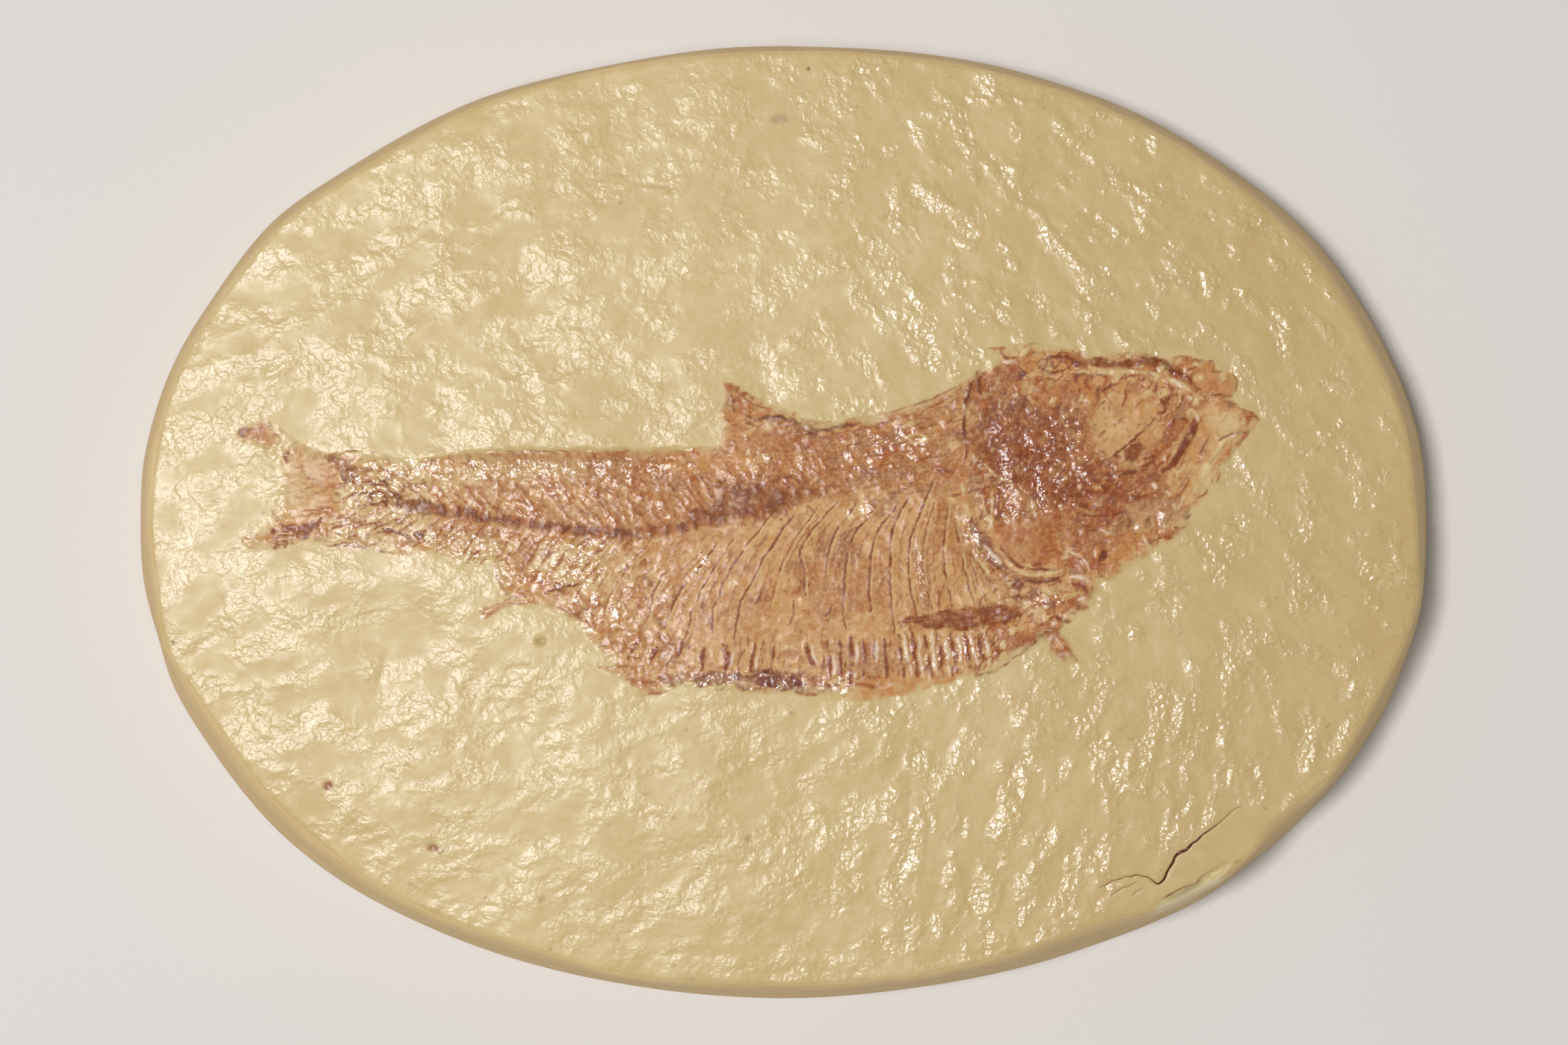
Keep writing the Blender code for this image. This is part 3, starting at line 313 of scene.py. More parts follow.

# Lines of the head, gill cover, shoulder and jaws; their white strokes are mostly painted glints of the
# varnish, some pale bone
HEAD_LINES = [
    ("dark", 0.16, [(16.1, 12.6), (15.7, 11.6), (15.3, 10.4), (15.05, 9.2), (15.05, 8), (15.2, 6.9),
        (15.1, 5.4)]),
    ("white_bone_and_glint", 0.13, [(15.05, 9.9), (15, 9)]),
    ("purple", 0.3, [(14.5, 7.4), (15.3, 7.5)]),
    ("white_bone_and_glint", 0.16, [(15, 6.8), (15.6, 6.5)]),
    ("dark", 0.26, [(16.3, 12.1), (16.3, 11.4), (16.4, 10.7)]),
    ("grey", 0.1, [(17.4, 12.1), (18, 11.4)]),
    ("pale", 0.1, [(16.7, 4.9), (17.6, 3.95), (18.8, 3.4), (19.1, 2.9)]),
    ("pale", 0.14, [(15, 3.2), (15.15, 1.6), (15.5, 0.4)]),
    ("pale", 0.1, [(15.3, 4.55), (16, 4.65), (16.8, 4.4)]),
    ("orange", 0.22, [(16.6, 3.4), (16.9, 2.4)]),
    ("maroon", 0.14, [(17.9, 3), (17.9, 1.6), (17.8, 0.4)]),
    ("pale", 0.1, [(17.35, 3.1), (17.4, 1.9), (17.3, 0.4), (17.3, -0.6)]),
    ("white_bone_and_glint", 0.12, [(17.3, 0.2), (17.3, -0.6)]),
    ("white_bone_and_glint", 0.1, [(17.35, 1.9), (17.35, 1.5)]),
    ("maroon", 0.2, [(21.6, 13.6), (23, 13.9), (24.2, 13.6)]),
    ("dark", 0.26, [(24.2, 13.4), (25.6, 13.45), (26.8, 13.4)]),
    ("maroon", 0.2, [(26.6, 13.35), (28.4, 13.35), (29.4, 13.45)]),
    ("dark", 0.3, [(29.2, 13.4), (30.2, 13.5), (31.4, 13.4), (32.1, 13.1)]),
    ("dark", 0.17, [(31.8, 12.9), (32.6, 12.6), (33.4, 12.3), (33.9, 11.9), (34, 11.6)]),
    ("maroon", 0.1, [(22.2, 12.5), (23, 12.6), (23.9, 12.9)]),
    ("maroon", 0.07, [(32.8, 13.7), (33.2, 13.95), (33.6, 13.8), (33.8, 13.5), (34.6, 13.5), (34.9, 13.1),
        (35.2, 13.4), (35.9, 13.45), (35.8, 12.9), (35.9, 12.6), (37, 12.6), (37.5, 12.4), (37.75, 11.9),
        (37.7, 11), (37.5, 10.5), (36.5, 10.6), (35.5, 10.8), (34.8, 11.1), (34.2, 11.35)]),
    ("grey", 0.08, [(20, 15.05), (24, 15.1), (27, 14.9)]),
    ("pale", 0.12, [(24, 12.6), (27, 12.6), (30, 12.5), (32, 12.1), (33.4, 11.4), (34.4, 10.6)]),
    ("white_bone_and_glint", 0.1, [(30.6, 12.6), (31, 12.3), (31.4, 12.2)]),
    ("white_bone_and_glint", 0.1, [(32.4, 12.1), (32.9, 11.6), (33.5, 11.1)]),
    ("white_bone_and_glint", 0.12, [(33.6, 10.6), (34, 10.3)]),
    ("white_bone_and_glint", 0.2, [(18.4, 13.35), (19.5, 13.4)]),
    ("maroon", 0.12, [(18, 14.4), (18.4, 13.9), (18.8, 13.65)]),
    ("orange", 0.2, [(17.2, 14.6), (18.4, 14.5)]),
    ("white_bone_and_glint", 0.1, [(20.35, 10.6), (20.8, 10.1)]),
    ("dark", 0.09, [(26.2, 9.6), (26.2, 10.2), (26.5, 10.8), (27.1, 11.3), (27.6, 11.6)]),
    ("red", 0.14, [(28.4, 11.1), (28.5, 10.4), (28.3, 9.8)]),
    ("red", 0.16, [(24.2, 12.3), (24.4, 11.7)]),
    ("red", 0.22, [(24.6, 11.2), (24.5, 10.4), (24.2, 10)]),
    ("red", 0.18, [(25.4, 12.1), (25.2, 11.5), (25.9, 11)]),
    ("red", 0.08, [(28.6, 12.2), (30.2, 12.15), (30.8, 11.6)]),
    ("red", 0.28, [(31, 11.4), (31.4, 10.8)]),
    ("maroon", 0.16, [(31.4, 10.2), (31.9, 9.8), (31.7, 9.2), (31.2, 9.1)]),
    ("red", 0.14, [(31.8, 11.8), (32.4, 11.2), (32.3, 10.6)]),
    ("dark", 0.08, [(33.4, 10.5), (33.1, 9.8), (32.5, 9.35), (31.9, 8.8)]),
    ("dark", 0.1, [(26.4, 5), (27.2, 5.35), (28.2, 6.1), (29.2, 7), (30.1, 7.8), (30.6, 8.2), (31, 8.8)]),
    ("dark", 0.16, [(29.9, 7.6), (30.5, 8.2)]),
    ("maroon", 0.1, [(30, 5.3), (30.6, 5.5), (31.2, 5.6)]),
    ("dark", 0.2, [(28, 3.8), (28.7, 4.1), (29.4, 4.2)]),
    ("maroon", 0.14, [(29.6, 4.6), (30.4, 4.9), (31, 5.4)]),
    ("maroon", 0.42, [(34.3, 8.6), (34, 7.5), (33.6, 6.6), (33.1, 5.8), (32.4, 4.9), (31.7, 4.3)]),
    ("purple", 0.16, [(34.1, 7.9), (33.8, 7.1), (33.3, 6.2), (32.6, 5.3)]),
    ("dark", 0.12, [(34.4, 8.3), (34.3, 7.6), (33.9, 6.8)]),
    ("grey", 0.13, [(34, 8.4), (33.6, 7.5), (33.2, 6.9), (32.9, 6.1)]),
    ("white_bone_and_glint", 0.1, [(34.4, 9), (34.6, 8.5)]),
    ("maroon", 0.2, [(33.6, 8.7), (32.9, 8.6), (32.2, 8)]),
    ("red", 0.3, [(32.6, 8.2), (32.2, 7.4), (31.6, 6.8)]),
    ("red", 0.2, [(32.3, 6.1), (32, 5.3), (31.2, 4.7)]),
    ("white_bone_and_glint", 0.09, [(31.75, 5.6), (31.8, 5.1)]),
    ("purple", 0.25, [(31.6, 4.2), (31, 3.8), (30.4, 3.9)]),
    ("maroon", 0.06, [(35.5, 7.1), (35.1, 6.5), (34.8, 5.9), (34.5, 5.4)]),
    ("white_bone_and_glint", 0.12, [(34.3, 5.5), (34.5, 5.2)]),
    ("grey", 0.12, [(34.3, 4.8), (33.6, 3.8), (33, 2.8)]),
    ("red", 0.12, [(34.2, 4.1), (33.6, 3.1), (33.1, 2.2)]),
    ("pale", 0.3, [(36.8, 6.9), (36, 5.5), (35.2, 4.2), (34.3, 2.8)]),
    ("grey", 0.07, [(36.9, 6.6), (36.1, 5.6), (35.6, 4.9)]),
    ("orange", 0.3, [(39.4, 8.2), (38.6, 7.3), (37.6, 6.2), (36.9, 5.2), (36.3, 4.4)]),
    ("red", 0.1, [(37.3, 5.5), (36.8, 5), (36.2, 4.7)]),
    ("red", 0.12, [(36.5, 4.2), (36.2, 3.4)]),
    ("red", 0.1, [(35.8, 3.6), (35.6, 3.3)]),
    ("red", 0.14, [(35.4, 2.8), (35.1, 2.3), (34.6, 2)]),
    ("white_bone_and_glint", 0.12, [(35.4, 8.1), (35.8, 7.65), (36.3, 6.9)]),
    ("groove", 0.07, [(36.4, 6.85), (37, 7.2), (37.6, 7.4), (38.2, 7.45), (38.9, 7.75)]),
    ("white_bone_and_glint", 0.1, [(37.3, 7.2), (37.7, 7.3)]),
    ("orange", 0.3, [(35.1, 10.2), (36.4, 9.9), (37.6, 9.6), (38.6, 9.4), (39.3, 8.9), (39.6, 8.4)]),
    ("red", 0.08, [(37.6, 9.6), (38.6, 9.35), (39.3, 9), (39.7, 8.5)]),
    ("red", 0.07, [(35.2, 10.3), (35.5, 10.45), (35.8, 10.2)]),
    ("white_bone_and_glint", 0.16, [(20.75, 2), (20.85, 1.4)]),
    ("white_bone_and_glint", 0.14, [(20.9, 0.9), (21, 0.5)]),
    ("white_bone_and_glint", 0.18, [(19.5, 2.6), (19.55, 2.2)]),
    ("white_bone_and_glint", 0.12, [(19.6, 1.6), (19.7, 1.2)]),
    ("white_bone_and_glint", 0.14, [(20, 1.2), (20.2, 1)]),
    ("white_bone_and_glint", 0.12, [(18.3, 0.7), (18.35, 0.4)]),
    ("white_bone_and_glint", 0.14, [(23.4, 3.8), (23.6, 3.6)]),
    ("white_bone_and_glint", 0.12, [(24.6, 3.1), (24.7, 2.8)]),
    ("white_bone_and_glint", 0.12, [(23.1, 1.5), (23.15, 1.2)]),
    ("white_bone_and_glint", 0.12, [(23.7, -2.1), (24.2, -2.6), (24.9, -2.9)]),
    ("white_bone_and_glint", 0.07, [(25, -3), (25.3, -3.5), (25.5, -4)]),
    ("white_bone_and_glint", 0.13, [(27.6, 4.7), (27.7, 4.4)]),
    ("white_bone_and_glint", 0.13, [(27.6, 3.9), (27.8, 3.7)]),
    ("white_bone_and_glint", 0.14, [(30.8, 3.3), (31.1, 2.8)]),
    ("white_bone_and_glint", 0.1, [(31.9, 2.6), (32.2, 2.3)]),
    ("purple", 0.62, [(15.6, 0), (16.1, -0.8), (16.7, -1.7), (17.2, -2.5), (17.9, -3.3), (18.6, -4)]),
    ("white_bone_and_glint", 0.16, [(15.8, -1.2), (16.3, -1.9)]),
    ("white_bone_and_glint", 0.17, [(16.9, -2.1), (17.5, -2.8), (18.1, -3.4)]),
    ("dark", 0.08, [(16.2, -1.9), (16.8, -2.8), (17.5, -3.5), (18.1, -4)]),
    ("purple", 0.6, [(18.5, -4.1), (19, -4.6), (19.6, -4.9)]),
    ("maroon", 0.3, [(18.9, -5.2), (19.9, -5.3)]),
    ("dark", 0.13, [(20, -4.75), (20.9, -5), (21.6, -4.95), (22.4, -4.8), (23.4, -4.4)]),
    ("purple", 0.25, [(22.2, -4.8), (23.4, -4.6)]),
    ("white_bone_and_glint", 0.2, [(24.1, -4.55), (24.9, -4.65), (25.5, -4.95), (25.9, -5.5), (26, -6.1)]),
    ("maroon", 0.2, [(24.1, -5.15), (24.9, -5.3), (25.4, -5.8), (25.6, -6.4)]),
    ("maroon", 0.16, [(18.1, -2.1), (18.8, -2.9), (19.4, -3.5), (20, -3.8)]),
    ("maroon", 0.36, [(20.6, -3.4), (21.4, -3.5)]),
    ("dark", 0.1, [(20.3, -3.85), (21.4, -3.95), (22.7, -3.95)]),
    ("pale", 0.17, [(18.8, -3.4), (19.5, -3.95), (20.6, -4.35), (21.8, -4.3), (23.2, -3.95)]),
    ("red", 0.1, [(21.6, -2.3), (22.6, -2.4), (23.4, -2.7)]),
    ("red", 0.08, [(19.2, -1.3), (19.9, -1.5)]),
    ("pale", 0.08, [(20.2, -0.5), (21.2, -0.9)]),
    ("white_bone_and_glint", 0.16, [(22.2, -3.5), (22.7, -3.3)]),
    ("orange", 0.45, [(23.8, -6.8), (24.6, -7.1), (25.3, -7.1)]),
    ("purple", 0.35, [(21.7, -6.6), (22.6, -6.9)]),
    ("white_bone_and_glint", 0.12, [(21.6, -6.1), (22.2, -6.6)]),
    ("white_bone_and_glint", 0.12, [(21.8, -7.1), (22.1, -7)]),
    ("white_bone_and_glint", 0.2, [(24.6, -6.4), (25.3, -6.4)]),
    ("maroon", 0.26, [(22.6, -7.8), (23.4, -8.2), (23.9, -8.3)]),
    ("white_bone_and_glint", 0.26, [(22.35, -8.4), (22.75, -8.45)]),
    ("white_bone_and_glint", 0.15, [(23.05, -7.7), (23.2, -7.75)]),
    ("white_bone_and_glint", 0.15, [(23.5, -7.8), (23.65, -7.85)]),
    ("maroon", 0.3, [(26.5, 3), (27, 2.6), (27.3, 2.1)]),
    ("maroon", 0.2, [(28.9, 2.2), (29.6, 2.1), (30.3, 2.1)]),
    ("maroon", 0.15, [(24.2, 1), (25.6, 0.5), (27, 0.6), (28.6, 0.9)]),
    ("purple", 0.2, [(26.4, 0.2), (27.6, 0.2), (28.2, 0.4)]),
    ("white_bone_and_glint", 0.16, [(26.5, -0.7), (27, -1)]),
    ("maroon", 0.2, [(25, -0.3), (26, -0.5)]),
    ("purple", 0.18, [(32.6, -0.4), (33.2, -0.5), (33.6, -0.3)]),
    ("red", 0.26, [(31.6, -1.1), (32.4, -1.3)]),
    ("grey", 0.2, [(31, -1.3), (30.4, -1.9)]),
    ("pale", 0.08, [(29.9, -1), (30.4, -1.8), (30.8, -2.4)]),
    ("white_bone_and_glint", 0.1, [(29.5, -2.5), (29.7, -2.6)]),
]

# The spindle-shaped fin that lies over the belly
PADDLE_FIN = [
    (9.25, -8.3), (11.9, -7.65), (14, -7.15), (18.2, -6.85), (19.7, -7.4), (20, -7.9), (18.9, -8.5),
    (14.7, -9.05), (11.9, -8.75), (10.9, -8.4),
]

# Stained patches: kind, strength, softness of the edge, outline
PATCHES = [
    ("pale", 0.7, 1, [(-42.4, 6), (-38.6, 5.8), (-38.4, 0.6), (-42.6, 0.6)]),
    ("orange", 0.4, 1.2, [(-42.2, 6), (-37, 6.2), (-36.6, 0.4), (-42.6, 0.5)]),
    ("orange", 0.75, 0.9, [(-41.8, 6), (-40.6, 6.2), (-37.2, 5.8), (-37, 0.6), (-40.8, 0.2), (-38.8, 1.6),
        (-38.6, 4), (-41, 4.8)]),
    ("maroon", 1, 0.3, [(-45.9, 7.1), (-45.8, 7.6), (-45.2, 8), (-44.6, 8.1), (-44.2, 7.8), (-44.9, 7.5),
        (-45.1, 7)]),
    ("orange", 1, 0.4, [(-44.2, 7.4), (-42.8, 7.4), (-42.8, 6.6), (-44.2, 6.6)]),
    ("pale", 0.85, 1.2, [(-37, 5.6), (-33, 5.4), (-29.4, 4.4), (-29.4, -1.6), (-33, -2.2), (-37.4, -1.6)]),
    ("maroon", 0.8, 0.4, [(-38.3, 5.4), (-37, 5.6), (-35.2, 4.4), (-35.6, 3.4), (-36.6, 3.6)]),
    ("maroon", 0.95, 0.3, [(-42.8, -0.6), (-42.1, -0.2), (-40.5, -0.3), (-39.2, 0.2), (-38.5, 0.6),
        (-38.3, 0.3), (-39.2, -0.6), (-39.9, -1.2), (-41.3, -1.8), (-42.2, -2.2), (-42.7, -2.1),
        (-42.8, -1.5)]),
    ("orange", 0.8, 0.5, [(-45.2, -1), (-43, -0.9), (-42.8, -1.9), (-44.6, -2.1)]),
    ("pale", 0.6, 0.6, [(-38.4, 0.6), (-36.8, 0.6), (-36, -1.6), (-38.2, -1.2)]),
    ("dark", 0.75, 0.35, [(-32.9, 2), (-32, 1.9), (-31, 1.9), (-29.9, 1.9), (-29.3, 1.4), (-29.5, 0.8),
        (-30.3, 0.8), (-31.3, 1), (-32.1, 1.3)]),
    ("orange", 0.8, 0.5, [(-29.2, 1.6), (-27, 1.3), (-27, 0.3), (-29.2, 0.5)]),
    ("orange", 0.8, 0.6, [(-29.2, 5.6), (-27, 5.2), (-26.6, 4.2), (-28.6, 4)]),
    ("pale", 0.75, 0.8, [(-29, 5.4), (-20, 5.6), (-13, 5.4), (-14, 4), (-22, 3.4), (-29, 2.8)]),
    ("pale", 0.65, 0.9, [(-20, -1.8), (-13.6, -2), (-12, -4), (-14.6, -6.2), (-18.4, -5.4), (-21, -3.4)]),
    ("red", 0.45, 1.4, [(-26, 5.8), (-12, 5.9), (-12, 3), (-24, 2.6)]),
    ("pale", 0.6, 0.8, [(-30, -0.4), (-22, -1.6), (-22, -3.4), (-30, -2.8)]),
    ("red", 0.5, 1.2, [(-27, 1), (-20, 1.6), (-10, 1.4), (-8, -0.4), (-20, -1.2), (-30, -0.6)]),
    ("red", 0.75, 0.8, [(-17, 5.6), (-12.4, 6), (-10, 5), (-12, 3.6), (-16.4, 3.8)]),
    ("red", 0.6, 0.9, [(-12, 2.6), (-8, 3.4), (-6, 2), (-8, 0.4), (-12, 0.4)]),
    ("orange", 0.7, 1.6, [(-9, 6.2), (0, 6.6), (4, 4), (-2, 2), (-8, 1)]),
    ("maroon", 0.7, 0.9, [(-6, 3.4), (-1, 3.8), (2.4, 3), (0.4, 0.6), (-3, 0.2), (-6, 0.8)]),
    ("dark", 0.7, 0.9, [(-4.6, 3.2), (-0.6, 3.4), (1.6, 2.6), (0.4, 1), (-3.6, 0.6), (-7, -0.2),
        (-7.4, 1)]),
    ("dark", 0.5, 0.7, [(-2, 9), (2, 8.3), (4.4, 8), (3.6, 7.4), (0, 7.8), (-2.6, 8.4)]),
    ("red", 0.9, 0.7, [(-4.8, 7), (0, 7.4), (4, 7.4), (2, 6.2), (-2.4, 5.8), (-4.8, 6.2)]),
    ("red", 0.55, 1.6, [(-2, 5.6), (6, 6.2), (10, 8), (14.8, 10.6), (15, 3), (9, 2.4), (0, 1.4)]),
    ("maroon", 0.5, 0.8, [(1.6, 3.6), (6, 4.2), (11, 4.6), (11, 3.4), (6, 2.6), (2, 2.2)]),
    ("purple", 0.7, 0.9, [(6.6, 2), (9.4, 2.4), (9.6, 0.6), (7.2, 0)]),
    ("red", 0.7, 0.9, [(-9, 3.4), (-5, 4.2), (1.6, 4), (3, 2), (-1, 0), (-6, -0.6), (-9, 0.4)]),
    ("orange", 1, 0.4, [(-5.2, 11.8), (-4.2, 11.6), (-1.8, 10.1), (-0.6, 9.3), (-3, 8.4), (-4.6, 8.2),
        (-5.7, 9.1)]),
    ("red", 0.8, 0.5, [(-5.3, 11.8), (-4.2, 11.5), (-3, 10.5), (-3.4, 9), (-4.4, 9.2)]),
    ("orange", 0.8, 0.6, [(-5.2, 8.4), (-1, 7), (1, 6.4), (-3, 6), (-5.4, 6.6)]),
    ("pale", 0.5, 0.5, [(-1.9, 8.4), (-0.6, 8.4), (-0.5, 7.7), (-1.8, 7.7)]),
    ("orange", 0.5, 2, [(-12, -1.6), (0, -0.6), (13, 0.8), (18, -6.2), (8, -9.6), (-8, -9.8)]),
    ("red", 0.55, 1.2, [(1, -2.4), (7.4, -2.2), (8.6, -7.4), (2.6, -8.2), (0.4, -5.4)]),
    ("red", 0.35, 1, [(-6, -5.6), (-1.4, -5.2), (-1, -9.2), (-6.4, -9.4)]),
    ("purple", 0.6, 0.6, [(2.6, -0.6), (5, -0.8), (6.8, -2.2), (5.4, -3.4), (3, -2.6)]),
    ("purple", 0.5, 0.6, [(-3, -5.6), (-1.4, -5.2), (-1.2, -6.4), (-2.8, -6.8)]),
    ("purple", 0.5, 0.5, [(10.6, -2), (12.2, -2.2), (12.4, -7), (11.6, -7.2), (11, -4.6)]),
    ("red", 0.5, 0.8, [(13, 2), (15, 1.4), (15, -2.6), (12.4, -3.2), (12, -0.4)]),
    ("grey", 0.8, 0.5, [(-10.4, -9.4), (-9, -9.6), (-8.8, -11.8), (-10, -12.2), (-10.6, -10.8)]),
    ("purple", 1, 0.5, [(-10.4, -12.6), (-5, -12.7), (-0.6, -12.2), (1.8, -13.4), (2.2, -14.2), (-1, -14),
        (-4.6, -13.6), (-9.4, -13.6)]),
    ("dark", 0.95, 0.4, [(-4.4, -12.8), (-0.6, -12.2), (1.6, -13.3), (2.2, -14.3), (0, -14.2),
        (-2.4, -13.4)]),
    ("orange", 0.9, 0.6, [(5.6, -13.6), (9, -12.4), (12, -12.9), (15.4, -12.6), (13.6, -13.4),
        (10.8, -14.3), (7.2, -14.8), (5.4, -14.6)]),
    ("maroon", 0.95, 0.3, PADDLE_FIN),
    ("dark", 0.55, 1.4, [(15.6, 9.4), (19, 10.2), (23.4, 9.6), (25, 8.2), (24.8, 4.6), (27, 3.6),
        (27.4, 1.6), (22, 1), (17.4, 3), (15.2, 5.4)]),
    ("red", 0.8, 1.6, [(15.4, 11.6), (19, 12.4), (24, 12.2), (26, 8.6), (26.4, 5.2), (32.4, 5), (33, 1),
        (27, -3), (21, -2), (17, 1.4), (15, 5)]),
    ("grey", 0.85, 0.6, [(18.2, 10.2), (20, 10.2), (20.2, 8.6), (19.2, 8), (18.2, 8.8)]),
    ("purple", 0.7, 0.5, [(17.4, 8.9), (18.6, 8.9), (18.9, 7.4), (17.5, 7.5)]),
    ("grey", 0.75, 0.5, [(18.2, 6.4), (19.2, 6.2), (19.2, 5), (18.2, 5)]),
    ("purple", 0.75, 0.4, [(15.2, 4.2), (16.6, 4.3), (16.7, 2.6), (15.3, 2.5)]),
    ("maroon", 0.8, 0.5, [(16.9, 7.2), (18.2, 6.9), (18.1, 6.1), (17, 6.1)]),
    ("orange", 0.9, 0.7, [(20.8, 11.6), (23, 11.6), (23, 10), (20.8, 9.8)]),
    ("red", 0.8, 0.5, [(21, 11.2), (22, 11.4), (22, 10.2), (21, 10)]),
    ("orange", 0.9, 0.5, [(24, 12.2), (26.4, 12.2), (26.2, 10.2), (24, 9.8)]),
    ("pale", 0.7, 0.4, [(19.8, 11.8), (20.8, 11.7), (20.8, 10.9), (19.8, 10.9)]),
    ("pale", 0.7, 0.4, [(20.2, 12.3), (22, 12.8), (22.2, 12.3), (20.8, 12)]),
    ("orange", 0.95, 0.4, [(19.8, 14.9), (20.8, 14.9), (21, 13.9), (20.9, 13.1), (19.8, 13.1)]),
    ("purple", 0.6, 0.4, [(21.3, 13.7), (22.8, 13.7), (22.8, 13), (21.4, 13)]),
    ("orange", 0.4, 1, [(25.2, 11.4), (31, 11.4), (33.2, 9.6), (31, 8), (27, 5.4), (25.4, 6.4)]),
    ("pale", 0.5, 0.9, [(25.8, 8.8), (27.6, 9.4), (28.4, 8), (27.4, 6.8), (25.9, 6.8)]),
    ("pale", 0.65, 0.5, [(24.5, 12.9), (29, 12.9), (32, 12.5), (33.6, 11.7), (34.8, 10.7), (34.4, 10),
        (33.4, 10.6), (32.4, 11.8), (30.6, 12.2), (26, 12.3)]),
    ("maroon", 1, 0.25, [(24.3, 13), (24.4, 13.8), (26.8, 13.7), (29.2, 13.7), (30.2, 13.85), (31.6, 13.7),
        (32.4, 13.3), (33.4, 12.7), (34, 12.1), (33.9, 11.8), (33, 12.2), (32, 12.75), (30.4, 13),
        (27, 13.05)]),
    ("maroon", 0.9, 0.4, [(27.2, 5.3), (28.5, 6.1), (29.6, 7), (30.1, 6.3), (29.7, 5.5), (29.2, 5.1),
        (28.4, 5.3)]),
    ("pale", 0.7, 0.4, [(28, 5), (29.4, 5), (30, 4.6), (29.2, 4.4), (28, 4.6)]),
    ("red", 0.85, 0.5, [(31.2, 6.6), (32.2, 8.6), (34, 8.9), (33.6, 7.6), (32.6, 6.8), (31.8, 6.2)]),
    ("orange", 0.6, 0.5, [(34.2, 8.6), (35.2, 8), (35, 6.4), (33.6, 4.6), (32.4, 3.4), (31.4, 3.2),
        (33.2, 5.2), (34.2, 6.8)]),
    ("orange", 0.95, 0.3, [(32.4, 13.6), (33.2, 14), (35, 13.5), (36, 13.4), (36.1, 12.7), (37.6, 12.4),
        (37.8, 11), (37.4, 10.5), (35, 11), (34.2, 11.6), (34, 12.4), (32.4, 13)]),
    ("pale", 0.7, 0.3, [(34.1, 12.5), (34.9, 12.4), (34.8, 11.9), (34.2, 11.9)]),
    ("pale", 0.8, 0.6, [(35.4, 9.2), (37.8, 9.2), (39.2, 8.4), (38.6, 7.7), (36.8, 7.2), (35.6, 8)]),
    ("pale", 0.6, 0.6, [(37, 7.2), (36.2, 6.6), (34.6, 4), (33.4, 1.6), (34.2, 1.4), (35.6, 3.6)]),
    ("pale", 0.55, 0.7, [(28.4, 1.4), (31, 1.8), (33, 1.4), (33.2, -0.2), (30.4, -0.8), (28.4, -0.4)]),
    ("grey", 0.8, 0.6, [(29, 1.6), (31, 2), (33.2, 1.8), (33.8, 0.6), (32.4, -0.2), (30, 0.2)]),
    ("red", 0.85, 0.5, [(26.2, 3.4), (27.8, 3.4), (27.9, 1.8), (26.2, 1.8)]),
    ("orange", 0.9, 0.7, [(27, -0.8), (31, -0.6), (30.4, -2.6), (27.2, -4.2)]),
    ("orange", 0.95, 0.7, [(17.6, 0.4), (19, -0.2), (22.4, -0.6), (23.4, -2.4), (23.2, -3.8), (20.4, -3.8),
        (18.4, -2.6), (17.3, -1)]),
    ("red", 0.65, 0.9, [(17.8, 0.6), (22.6, -0.2), (23.4, -3.4), (20.2, -3.8), (18, -2)]),
    ("pale", 0.4, 0.5, [(18.8, -1.8), (20.4, -1.9), (20.4, -3), (19.2, -2.6)]),
    ("pale", 0.7, 0.6, [(21.6, -5.2), (24.2, -5.3), (25.2, -6.2), (23.6, -6.2), (21.8, -6)]),
    ("pale", 0.7, 0.6, [(19.6, -6.4), (21.4, -6.9), (22, -8), (20.6, -8), (19.8, -7)]),
    ("pale", 0.4, 1, [(15.2, -3.6), (18.6, -5.2), (19.2, -6.6), (14.6, -6.8)]),
    ("red", 0.5, 0.8, [(3, -10), (12, -10.2), (17.4, -9.4), (17, -11.6), (12, -12.8), (5, -13)]),
    ("purple", 0.6, 0.5, [(-3.4, -12.9), (0.6, -12.6), (4, -13), (4, -14.2), (0, -14.2)]),
]

